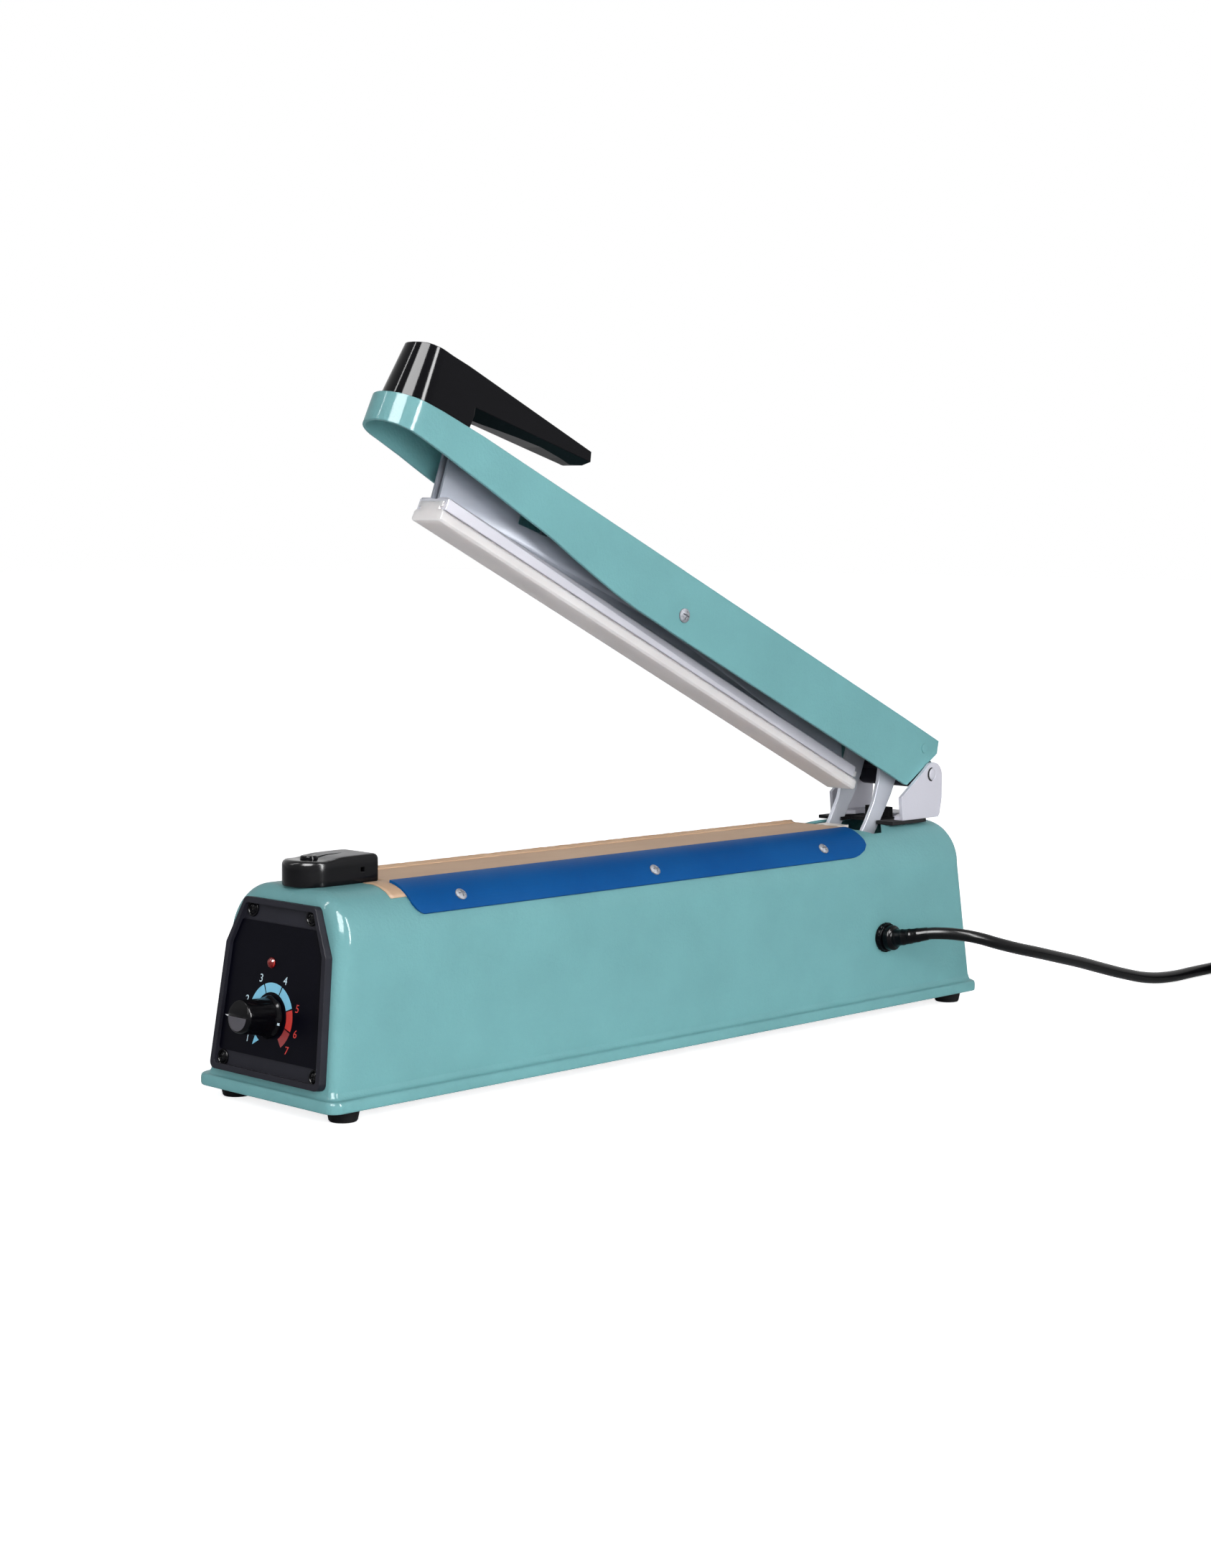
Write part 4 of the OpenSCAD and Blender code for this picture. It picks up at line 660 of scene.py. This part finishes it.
def rear_y(z):
    """Rear face's place along Y at a height."""
    t = min(1.0, (z - FLANGE_TOP) / (SHOULDER_Z - FLANGE_TOP))
    return REAR_FOOT_Y + (REAR_TOP_Y - REAR_FOOT_Y) * t


def section_points(inset_of):
    """Half outline of the body's section from the right foot to the middle of the deck: (x, z, t)."""
    points = []
    steps = 14
    for i in range(steps + 1):
        t = i / steps
        z = FLANGE_TOP + (SHOULDER_Z - FLANGE_TOP) * t
        points.append((WALL_X - LEAN * t - inset_of(t), z, t))
    for i in range(1, 19):
        points.append((*polar(SHOULDER_R - inset_of(1), 90 * i / 18, SHOULDER_X, SHOULDER_Z), 1))
    for i in range(1, 7):
        points.append((SHOULDER_X * (1 - i / 6), DECK - inset_of(1), 1))
    return points


def housing_row(depth, at_front):
    """One row round the body, where depth runs from 0 on the end face to 1 past its rounded edge."""
    a = math.radians(90 * depth)

    def edge(t):
        return CORNER_R + (EDGE_R - CORNER_R) * t

    def place(x, z, t):
        r = edge(t)
        back = r * (1 - math.cos(a))
        return (x, face_y(z) + back, z) if at_front else (x, rear_y(z) - back, z)

    right = [place(*p) for p in section_points(lambda t: edge(t) * (1 - math.sin(a)))]
    left = [(-x, y, z) for x, y, z in reversed(right[:-1])]
    return right + left


def flange_rows():
    """Rows round the base from inside the wall's foot, over the flange and under its rim."""
    profile = [(-0.1, 13.9), (-0.03, 13.2), (0.05, 12.3), (0.16, 11.4), (0.3, 10.85), (0.42, 10.62),
               (0.52, 10.5), (0.6, 10.62), (0.68, 10.66), (0.78, 10.5), (0.87, 10.3), (0.94, 9.85),
               (0.985, 9.2), (1, 8.4), (1, 7), (0.985, 6.2), (0.94, 5.65), (0.86, 5.42),
               (0.7, 5.42), (0.66, 6.6), (0.2, 6.9)]
    inner = (WALL_X, FACE_FOOT_Y, REAR_FOOT_Y, CORNER_R)
    outer = (BASE_HALF / MM, BASE_FRONT / MM, BASE_REAR / MM, 6.0)
    rows = []
    for share, z in profile:
        half, front, rear, r = (a + (b - a) * share for a, b in zip(inner, outer))
        row = []
        for cx, cy, start in ((half - r, rear - r, 0), (-half + r, rear - r, 90),
                              (-half + r, front + r, 180), (half - r, front + r, 270)):
            row += [(*polar(r, start + 90 * k / 8, cx, cy), z) for k in range(9)]
        rows.append(row)
    return rows


def slot_mesh():
    """Plan of the slot for the lifting blades, as a closed cutter."""
    right = [(21, 0), (27, 8), (27, 15), (17, 27), (17, 48)]
    plan = right + [(-x, y) for x, y in reversed(right)]
    return solid("slot_cutter", [[(x, SLOT_Y + y, z) for x, y in plan]
                                 for z in (DECK - 12, DECK + CUT_OVER)])


def housing():
    """Pressed steel housing with its rolled flange."""
    front_edge = [housing_row(i / 7, True) for i in range(8)]
    rear_edge = [housing_row(1 - i / 7, False) for i in range(8)]
    middle = []
    for k in range(1, 36):
        share = k / 36
        middle.append([(a[0], a[1] + (b[1] - a[1]) * share, a[2])
                       for a, b in zip(front_edge[-1], rear_edge[0])])
    body = lofted("housing_body", front_edge + middle + rear_edge, ends=True)
    shell = mesh_object("housing_shell", body, teal, "base", ["base_housing"])
    thicken(shell, SKIN, -1).use_even_offset = True
    over = DECK + CUT_OVER
    hole_front, hole_rear = SWITCH_HOLE_Y
    window_foot, window_top = WINDOW_Z
    cut(shell, slot_mesh(),
        box_mesh("bar_cutter", (-BAR_HALF, BAR_FRONT, DECK - 8), (BAR_HALF, SLOT_Y - 0.5, over)),
        box_mesh("switch_cutter", (-SWITCH_HOLE_HALF, hole_front, DECK - 6),
                 (SWITCH_HOLE_HALF, hole_rear, over)),
        box_mesh("window_cutter", (-WINDOW_HALF, FACE_FOOT_Y - 6, window_foot),
                 (WINDOW_HALF, FACE_FOOT_Y + 14, window_top)))
    flange = lofted("housing_flange", flange_rows(), closed=True)
    mesh_object("housing_flange", flange, teal, "base")


housing()


# ---------- switch block ----------

SWITCH_HALF, SWITCH_FRONT, SWITCH_REAR, SWITCH_H = 11.8, -201.4, -159.8, 11.3
SWITCH_RISE, SWITCH_EDGE_R, SWITCH_WALL = 1.1, 2.4, 1.8
BUTTON_Y, BUTTON_R, BUTTON_HOLE, BUTTON_TOP = -190.0, 3.7, 4.0, DECK + 12.8


def switch_top(y, inset):
    """Height of the block's top over the deck: low in front, a dish round the button, a raised rear."""
    share = (y - SWITCH_FRONT) / (SWITCH_REAR - SWITCH_FRONT)
    rise = 0.6 * smoothstep((y - BUTTON_Y - 2) / 9) + 0.4 * share
    dish = 0.5 * math.exp(-((y - BUTTON_Y) / 5.0) ** 2) * smoothstep(inset / 2)
    return SWITCH_H + SWITCH_RISE * rise - dish - 0.2 * smoothstep((y - SWITCH_REAR + 6) / 6)


def switch_plan(inset):
    """Outline drawn in by inset: round in front, square with small corners behind."""
    half, middle, rear = SWITCH_HALF - inset, SWITCH_FRONT + SWITCH_HALF, SWITCH_REAR - inset
    corner = max(0.2, 2.6 - inset)
    front = [polar(half, 180 + 180 * k / 24, 0, middle) for k in range(25)]
    right = [(half, y) for y in span(middle, rear - corner, 10)[1:-1]]
    right += [polar(corner, 90 * k / 6, half - corner, rear - corner) for k in range(7)]
    return front + right + [(0, rear)] + [(-x, y) for x, y in reversed(right)]


def switch_block():
    """Moulded block over the microswitch, hollow inside; its upward faces behind the button are painted
    paler, a painted reflection of light from above.
    """
    rows = []
    for inset, z in ((0.5, 0.02), (0.12, 0.3), (0, 0.9), (0, 3), (0, 5), (0, 6.6)):
        rows.append([(x, y, DECK + z) for x, y in switch_plan(inset)])
    top = [polar(-SWITCH_EDGE_R, 90 * k / 8, SWITCH_EDGE_R, SWITCH_EDGE_R) for k in range(1, 9)]
    top += [(inset, 0) for inset in (3.4, 4.6, 6.2, 8, 9.6, 10.8)]
    for inset, drop in top:
        rows.append([(x, y, DECK + switch_top(y, inset) - drop) for x, y in switch_plan(inset)])
    block = mesh_object("switch_block", solid("switch_block", rows, smooth=True), switch_black,
                        "base", ["switch_housing"])
    hollow = [[(x, y, DECK + z) for x, y in switch_plan(SWITCH_WALL)] for z in (-1, 4, 7.4)]
    cut(block, solid("hollow_cutter", hollow),
        cylinder_mesh("button_cutter", (0, BUTTON_Y, DECK - 1), (0, 0, 1), BUTTON_HOLE, 18),
        box_mesh("hole_cutter", (SWITCH_HALF - 3, -171, DECK + 4.8),
                 (SWITCH_HALF + 3, -168.8, DECK + 7)))
    # Upward faces behind the button are painted paler: painted reflection of light from above.
    block.data.materials.append(switch_top_painted_reflection)
    for face in block.data.polygons:
        if face.normal.z > 0.9 and face.center.y > (BUTTON_Y + BUTTON_HOLE) * MM:
            face.material_index = 1


def button():
    """Low round button with a dished top and a stem."""
    profile = [(1.3, -7.4), (1.5, -7.2), (1.5, -2.4), (BUTTON_R - 0.3, -2.3), (BUTTON_R, -2.0),
               (BUTTON_R, -0.7), (BUTTON_R - 0.2, -0.25), (BUTTON_R - 0.75, -0.02),
               (BUTTON_R - 1.2, 0), (1.6, -0.22), (0.4, -0.3)]
    place = Matrix.Translation(Vector((0, BUTTON_Y, BUTTON_TOP)) * MM)
    mesh_object("button_cap", turned("button_cap", profile, place), gloss_black, "button",
                ["switch_button"])


switch_block()
button()


# ---------- dial ----------

PANEL_Y, PANEL_FOOT_Z, PANEL_LEAN = -215.537, 14.0, math.radians(7.2)
LABEL_TOP = -1.79
DIAL_X, DIAL_V = -1.0, 26.5
LAMP_X, LAMP_V = -3.5, 49.4
LAMP_RIM_R, LAMP_RIM_T, LAMP_HEIGHT = 2.1, 0.32, 0.86
PRINT_T, PRINT_SUNK = 0.05, 0.02
ARC_GAP, ARC_INNER, ARC_OUTER = 1.4, 10.6, 14.6
NUMBER_R, NUMBER_SIZE = 17.8, 5.0


def on_panel(x=0, v=0, out=0):
    """From axes at a place on the panel (X across, Y up its face, Z out of it) to the row frame."""
    return (Matrix.Translation(Vector((0, PANEL_Y, PANEL_FOOT_Z)) * MM)
            @ Matrix.Rotation(math.radians(90) - PANEL_LEAN, 4, "X")
            @ Matrix.Translation(Vector((x, v, out)) * MM))


def clockwise(angle, radius, centre=(DIAL_X, DIAL_V)):
    """Point at an angle clockwise from the top of the dial."""
    a = math.radians(angle)
    return (centre[0] + radius * math.sin(a), centre[1] + radius * math.cos(a))


def print_patch(name, outline_rows, material):
    """Thin printed patch on the panel between rows of (x, v) points."""
    framed = [outline_rows[0], *outline_rows, outline_rows[-1]]
    heights = [-PRINT_SUNK, *[PRINT_T] * len(outline_rows), -PRINT_SUNK]
    rows = [[(x, v, LABEL_TOP + out) for x, v in row] for row, out in zip(framed, heights)]
    mesh_object(name, lofted(name, rows, on_panel(), smooth=False), material, "base")


def dial_arc(name, start, end, material):
    """One coloured part of the scale, between two angles."""
    angles = span(start + ARC_GAP, end - ARC_GAP, 10)
    print_patch(name, [[clockwise(a, r) for a in angles] for r in
                       (ARC_INNER, (ARC_INNER + ARC_OUTER) / 2, ARC_OUTER)], material)


def dial_number(text, angle, material):
    """Plain number beside the dial."""
    name = "number_" + text
    curve = bpy.data.curves.new(name, "FONT")
    curve.body = text
    curve.size = NUMBER_SIZE * MM
    curve.extrude = PRINT_T * MM
    curve.align_x, curve.align_y = "CENTER", "CENTER"
    curve.shear = 0.15
    holder = linked(name, curve)
    mesh = evaluated_mesh(holder)
    bpy.data.objects.remove(holder)
    mesh.transform(on_panel(*clockwise(angle, NUMBER_R), LABEL_TOP + 0.03))
    mesh.materials.clear()
    mesh_object(name, mesh, material, "base")


def dial():
    """Printed scale of the timer."""
    arcs = [(288, 336, print_blue), (-24, 24, print_blue), (24, 70, print_blue),
            (70, 110, print_red), (110, 146, print_dark_red)]
    for n, (start, end, material) in enumerate(arcs):
        dial_arc("scale_%d" % (n + 1), start, end, material)
    print_patch("scale_wedge", [[clockwise(a, 12.4) for a in (211, 216, 221, 227)],
                                [clockwise(219, 16.8)] * 4], print_blue)
    for text, angle, material in (("1", 233, print_white), ("2", 288, print_white),
                                  ("3", 331, print_white), ("4", 25, print_white),
                                  ("5", 72, print_red), ("6", 107, print_red),
                                  ("7", 136, print_red)):
        dial_number(text, angle, material)


dial()


def lamp_ring():
    """Red rim round the lamp's lens."""
    rows = []
    for k in range(12):
        radius, out = polar(LAMP_RIM_T, 360 * k / 12, LAMP_RIM_R, LABEL_TOP + 0.3)
        circle = [polar(radius, 360 * j / 32) for j in range(32)]
        rows.append([(LAMP_X + x, LAMP_V + LAMP_HEIGHT * v, out) for x, v in circle])
    mesh = lofted("lamp_rim", rows, on_panel(), closed=True, ring=True)
    mesh_object("lamp_rim", mesh, rim_red, "base")


lamp_ring()


# ---------- knob ----------

KNOB_FOOT, KNOB_TIP, KNOB_FACE_R, KNOB_FLUTES = 0.5, 17.8, 6.4, 12
KNOB_LEDGE = 1.0
LEDGE_HALF, LEDGE_OVER = 7, 3


def knob_swell(height, angle):
    """Lobes of the knob's skirt, and flutes of its grip."""
    lobes = 0.2 * math.cos(8 * angle) * (1 - smoothstep((height - 1.8) / 1.5))
    grip = smoothstep((height - 3.5) / 2) * (1 - smoothstep((height - 14.6) / 1.6))
    return lobes - 0.3 * grip * (0.5 + 0.5 * math.cos(KNOB_FLUTES * angle)) ** 3


def knob_place():
    """From the knob's own axes to the row frame."""
    return on_panel(DIAL_X, DIAL_V, LABEL_TOP)


def knob():
    """Timer knob: lobed skirt, fluted grip, and a face with a sunken upper half."""
    profile = [(3.4, KNOB_FOOT), (8.6, KNOB_FOOT), (9.1, KNOB_FOOT + 0.4), (9.2, 1.5), (9.0, 2.0),
               (8.45, 2.6), (8.15, 3.6), (7.95, 5), (7.8, 7), (7.65, 9), (7.5, 11), (7.4, 13),
               (7.3, 14.6), (7.22, 15.8), (7.0, 16.8), (KNOB_FACE_R + 0.15, 17.5),
               (KNOB_FACE_R - 0.4, KNOB_TIP)]
    mesh = turned("knob", profile, Matrix(), knob_swell, 96)
    body = mesh_object("knob", mesh, knob_black, "knob", ["timer_knob"])
    ledge = []
    for y, drop in ((0.2, 0), (0.5, 0), (8, KNOB_LEDGE)):
        foot, over = KNOB_TIP - 0.25 - drop, KNOB_TIP + LEDGE_OVER
        ledge.append([(-LEDGE_HALF, y, foot), (-LEDGE_HALF, y, over), (LEDGE_HALF, y, over),
                      (LEDGE_HALF, y, foot)])
    cut(body, solid("ledge_cutter", ledge))
    body.data.transform(knob_place())


def knob_face():
    """Lower half of the knob's face, grey as a painted reflection of the floor."""
    rows = []
    for share in (0, 0.4, 0.75, 0.93, 1):
        arc = [polar((KNOB_FACE_R - 0.5) * share, a, 0, -0.12) for a in range(180, 361, 10)]
        rows.append([(x, y, KNOB_TIP + 0.16 * (1 - share ** 4)) for x, y in arc])
    mesh = lofted("knob_face", rows, knob_place())
    mesh_object("knob_face", mesh, knob_face_painted_reflection, "knob")


def knob_mark(name, low_section, high_section, material):
    """Small solid between two four-sided sections in the knob's own axes, in millimetres."""
    mesh = solid(name, [low_section, high_section], knob_place())
    mesh_object(name, mesh, material, "knob")


def knob_marks():
    """White tick on the knob's skirt, and the fine nib at the edge of its face."""
    angle, low_r, high_r = 103, 8.0, 9.0
    corners = ((-1, low_r), (-1, high_r), (1, high_r), (1, low_r))
    knob_mark("knob_pointer",
              *[[(*clockwise(angle + side * 3.5, r, (0, 0)), h) for side, r in corners]
                for h in (1.7, 2.75)], print_white)
    knob_mark("knob_nib",
              [(-6.2, -0.3, 17.0), (-6.2, 0.3, 17.0), (-6.2, 0.3, 18.0), (-6.2, -0.3, 18.0)],
              [(-8.1, 0.1, 17.5), (-8.1, 0.25, 17.5), (-8.1, 0.25, 17.8), (-8.1, 0.1, 17.8)],
              nib_grey)


knob()
knob_face()
knob_marks()


# ---------- rings round the panel's screws, dark as painted shade ---

# Screws of the panel in its own axes, in millimetres, as in the CAD source
PANEL_SCREWS = [(19.75, 71.0), (31.0, 5.2)]
PANEL_BAND = -2.4


def screw_shade_rings():
    """Moulded rings round the panel's four screws, in a darker black as painted shade of the screw
    recesses.
    """
    profile = [(2.45, 0.02), (2.5, 0.25), (2.75, 0.62), (3.0, 0.78), (3.25, 0.72), (3.45, 0.42),
               (3.6, 0.02)]
    rows = [[(*polar(r, a), h) for a in range(0, 360, 10)] for r, h in profile]
    for n, (x, v) in enumerate([(s * x, v) for x, v in PANEL_SCREWS for s in (-1, 1)]):
        name = "screw_shade_ring_%d" % (n + 1)
        mesh = lofted(name, rows, on_panel(x, v, PANEL_BAND), closed=True, ring=True)
        # Darker black on the rings than on the panel: painted shade of the screw recesses.
        mesh_object(name, mesh, knob_black, "base")


screw_shade_rings()


# ---------- press bar and hinge pin ----------

ROCK = Vector((0, 6.0, HINGE.z / MM - 0.5)) * MM
HANG_ANGLE = math.radians(0.4)


def tilted(point, angle):
    """Tilt round a point that lifts the front."""
    return Matrix.Translation(point) @ Matrix.Rotation(-angle, 4, "X") @ Matrix.Translation(-point)


def hung():
    """From the press bar's closed place to its place at rest: open with the arm, tilted on its screw."""
    return tilted(HINGE, OPEN_ANGLE) @ tilted(ROCK, HANG_ANGLE)


WEB_FOOT = 107.3
WEB_FRONT_SHIFT, WEB_FRONT = 2.4, -140.0
NOTCH_Y, NOTCH_Z, NOTCH_OVER, NOTCH_HALF = (-98.0, -79.0), 117.5, 140, 10
PIN_R, PIN_STANDS_OUT = 3.0, 0.25
# Painted shadow beside the pin, a dark crescent sheet on the ear: its outer and inner circle as (radius,
# offset along Y), and how far it stands out
SHADOW_OUTER, SHADOW_INNER, SHADOW_OUT = (3.7, -0.2), (3.3, 0.5), (0.01, 0.28)


def press_bar():
    """Holder of the silicone strip with its two webs, notched near the front."""
    mesh = nodes["press_bar"].data.copy()
    mesh.materials.clear()
    bar = mesh_object("press_bar_profile", mesh, holder_grey, "press_bar",
                      ["press_bar"])
    mesh.materials.append(web_painted_shade)
    to_closed = hung().inverted()
    for v in mesh.vertices:
        closed = to_closed @ v.co
        if closed.y < WEB_FRONT * MM and closed.z > WEB_FOOT * MM:
            closed.y -= WEB_FRONT_SHIFT * MM
            v.co = hung() @ closed
    y0, y1 = NOTCH_Y
    notch = [[(x, y0 - 1.5, NOTCH_OVER), (x, y0, NOTCH_Z), (x, y1, NOTCH_Z + 2.5),
              (x, y1 + 3, NOTCH_OVER)] for x in (-NOTCH_HALF, NOTCH_HALF)]
    cut(bar, solid("notch_cutter", notch, hung()))
    # Faces of the webs get the darker copy of the aluminium: painted shade under the arm.
    for face in bar.data.polygons:
        face.material_index = 1 if (to_closed @ face.center).z > WEB_FOOT * MM else 0


def hinge_pin():
    """Hinge pin with a flush end."""
    start, ear_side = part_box("hinge_pin")[0].x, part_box("hinge_bracket")[1].x
    length = ear_side / MM + PIN_STANDS_OUT - start / MM
    profile = [(PIN_R - 0.4, 0), (PIN_R, 0.4), (PIN_R, length - 0.3), (PIN_R - 0.5, length),
               (PIN_R - 2, length)]
    place = Matrix.Translation((start, HINGE.y, HINGE.z)) @ Matrix.Rotation(math.radians(90), 4, "Y")
    mesh_object("hinge_pin_flush", turned("hinge_pin_flush", profile, place, steps=32), nickel,
                "base", ["hinge_pin"])


def hinge_pin_painted_shadow():
    """Dark crescent sheet on the ear beside the pin: painted shadow in the ear's hole."""
    ear_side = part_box("hinge_bracket")[1].x / MM
    middle = HINGE / MM
    outline = []
    for (radius, offset), angles in ((SHADOW_OUTER, range(95, 270, 7)), (SHADOW_INNER, range(263, 90, -7))):
        outline += [polar(radius, a, middle.y + offset, middle.z) for a in angles]
    rows = [[(ear_side + out, y, z) for y, z in outline] for out in SHADOW_OUT]
    mesh_object("hinge_pin_painted_shadow", solid("hinge_pin_painted_shadow", rows), rubber_black, "base")


press_bar()
hinge_pin()
hinge_pin_painted_shadow()


# ---------- cloth ----------

CLOTH_FRONT, CLOTH_L, CLOTH_T, CLOTH_GAP = -170.0, 323.0, 0.3, 0.04
CLOTH_LOW = 51.0
CUT_HALF, CUT_REAR = 12.2, -159.5
REAR_ROUNDING = 9.0
STRIP_TOP_R, STRIP_EDGE = SHOULDER_R + 0.34 + 1.2, 83
FRINGE_T, FRINGE_LAP = 0.15, 1.4


def cloth_point(x_along, lift):
    """Point of the cloth's section at a distance along it from the middle of the deck."""
    side = 1 if x_along >= 0 else -1
    s = abs(x_along)
    r = SHOULDER_R + CLOTH_GAP + lift
    if s <= SHOULDER_X:
        return (side * s, DECK + CLOTH_GAP + lift)
    a = (s - SHOULDER_X) / (SHOULDER_R + CLOTH_GAP)
    return (side * (SHOULDER_X + r * math.sin(a)), SHOULDER_Z + r * math.cos(a))


def cloth_fringe(shake):
    """Frayed edge of the cloth, which laps over the far strip's upper edge."""
    low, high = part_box("left_clamp_strip")
    rows = []
    for y in span(low.y / MM + 4, high.y / MM + 3, 150):
        lift = 0.12 + 0.22 * shake.random()
        end = STRIP_EDGE - 5 - 4 * shake.random()
        line = [(-SHOULDER_X, DECK + 0.36), (-SHOULDER_X - FRINGE_LAP, DECK + 0.75)]
        for angle in span(STRIP_EDGE + 0.6, end, 2):
            line.append(polar(STRIP_TOP_R + lift, 180 - angle, -SHOULDER_X, SHOULDER_Z))
        rows.append([(x, y + 0.25 * (shake.random() - 0.5), z) for x, z in line])
    made = mesh_object("cloth_fringe", lofted("cloth_fringe", rows), coated_cloth, "base")
    thicken(made, FRINGE_T, 1)
    return made


def cloth():
    """Coated cloth stretched over the deck, cut out round the switch."""
    shake = random.Random(5)
    reach = SHOULDER_X + math.radians(90 - CLOTH_LOW) * SHOULDER_R
    across = (span(-reach, -CUT_HALF, 9)[:-1] + span(-CUT_HALF, CUT_HALF, 8)[:-1]
              + span(CUT_HALF, reach, 9))
    along = span(CLOTH_FRONT, CUT_REAR, 4)[:-1] + span(CUT_REAR, CLOTH_FRONT + CLOTH_L, 110)
    bm = bmesh.new()
    grid = []
    for j, y in enumerate(along):
        row = []
        for i, s_along in enumerate(across):
            x, z = cloth_point(s_along, CLOTH_T / 2)
            fray = 0.35 * (shake.random() - 0.5) if j in (0, len(along) - 1) else 0
            rounding = REAR_ROUNDING * smoothstep((abs(s_along) - 17) / 9) * max(0, (y - 60) / 93)
            row.append(bm.verts.new(Vector((x, y + fray - rounding, z)) * MM))
        grid.append(row)
    for j in range(len(along) - 1):
        for i in range(len(across) - 1):
            in_cut = along[j] < CUT_REAR - 0.01 and abs(across[i] + across[i + 1]) < 2 * CUT_HALF
            if not in_cut:
                bm.faces.new((grid[j][i], grid[j][i + 1], grid[j + 1][i + 1], grid[j + 1][i]))
    bmesh.ops.delete(bm, geom=[v for v in bm.verts if not v.link_faces], context="VERTS")
    mesh = finished_mesh(bm, "cloth_sheet")
    sheet = mesh_object("cloth_sheet", mesh, coated_cloth, "base", ["sealing_cloth"])
    thicken(sheet, CLOTH_T, 0)
    fringe = cloth_fringe(shake)


cloth()


# ---------- floor, light and background ----------

HORIZON_LIGHT, ZENITH_LIGHT = 1.0, 0.12
FLOOR_GLOW = 0.75
FLOOR_HALF, FLOOR_DROP = 12, 0.0002
LIGHT_DISTANCE = 2.0


def sky():
    """Soft light, and a white background for the camera and reflections."""
    world = bpy.data.worlds.new("studio")
    bpy.context.scene.world = world
    world.use_nodes = True
    tree = world.node_tree
    tree.nodes.clear()
    out = node(tree, "ShaderNodeOutputWorld")
    link = tree.links.new
    path = node(tree, "ShaderNodeLightPath")
    axes = node(tree, "ShaderNodeSeparateXYZ")
    shown = node(tree, "ShaderNodeBackground", Color=(0.97, 0.985, 1, 1))
    link(node(tree, "ShaderNodeTexCoord").outputs["Generated"], axes.inputs[0])
    link(spread(tree, axes.outputs["Z"], HORIZON_LIGHT, ZENITH_LIGHT),
                   shown.inputs["Strength"])
    white = node(tree, "ShaderNodeBackground", Color=(1, 1, 1, 1), Strength=1.0)
    for ray in ("Is Camera Ray", "Is Glossy Ray", "Is Transmission Ray"):
        mix = node(tree, "ShaderNodeMixShader")
        link(path.outputs[ray], mix.inputs[0])
        link(shown.outputs[0], mix.inputs[1])
        link(white.outputs[0], mix.inputs[2])
        shown = mix
    link(shown.outputs[0], out.inputs["Surface"])


def floor():
    """Pale floor, which the camera sees brighter than the light makes it."""
    mesh = bpy.data.meshes.new("floor")
    corners = [(-1, -1), (1, -1), (1, 1), (-1, 1)]
    mesh.from_pydata([(x * FLOOR_HALF, y * FLOOR_HALF, 0) for x, y in corners], [], [(0, 1, 2, 3)])
    made = linked("floor", mesh)
    made.location.z = -FLOOR_DROP
    material, tree, shader = new_material("floor")
    settle(shader, Base_Color=(0.86, 0.86, 0.86, 1), Roughness=0.9, Specular_IOR_Level=0.1)
    glow = node(tree, "ShaderNodeEmission", Strength=FLOOR_GLOW)
    path = node(tree, "ShaderNodeLightPath")
    add = node(tree, "ShaderNodeAddShader")
    pick = node(tree, "ShaderNodeMixShader")
    out = tree.nodes["Material Output"]
    link = tree.links.new
    link(shader.outputs["BSDF"], add.inputs[0])
    link(glow.outputs["Emission"], add.inputs[1])
    link(path.outputs["Is Camera Ray"], pick.inputs["Fac"])
    link(shader.outputs["BSDF"], pick.inputs[1])
    link(add.outputs["Shader"], pick.inputs[2])
    link(pick.outputs["Shader"], out.inputs["Surface"])
    mesh.materials.append(material)


def soft_box(name, azimuth, elevation, width, height, radiance, reflected=True, diffuse=True):
    """Area light aimed at the machine's middle, from a direction in degrees."""
    data = bpy.data.lights.new(name, "AREA")
    data.shape = "RECTANGLE"
    data.size, data.size_y = width, height
    data.energy = radiance * math.pi * width * height
    made = linked(name, data)
    a, e = math.radians(azimuth), math.radians(elevation)
    aim = Vector((0, 0, 0.15))
    place = Vector((math.cos(a) * math.cos(e), math.sin(a) * math.cos(e), math.sin(e)))
    made.location = aim + place * LIGHT_DISTANCE
    made.rotation_euler = (-place).to_track_quat("-Z", "Y").to_euler()
    made.visible_diffuse = diffuse
    made.visible_glossy = reflected


sky()
floor()
soft_box("key_box", -30, 14, 0.8, 1.1, 9.6, reflected=False)
soft_box("left_streak", -122, 40, 0.08, 1.4, 60, diffuse=False)
soft_box("middle_streak", -55, 42, 1.1, 1.4, 62, diffuse=False)
soft_box("right_streak", 10, 26, 0.3, 2.0, 90, diffuse=False)
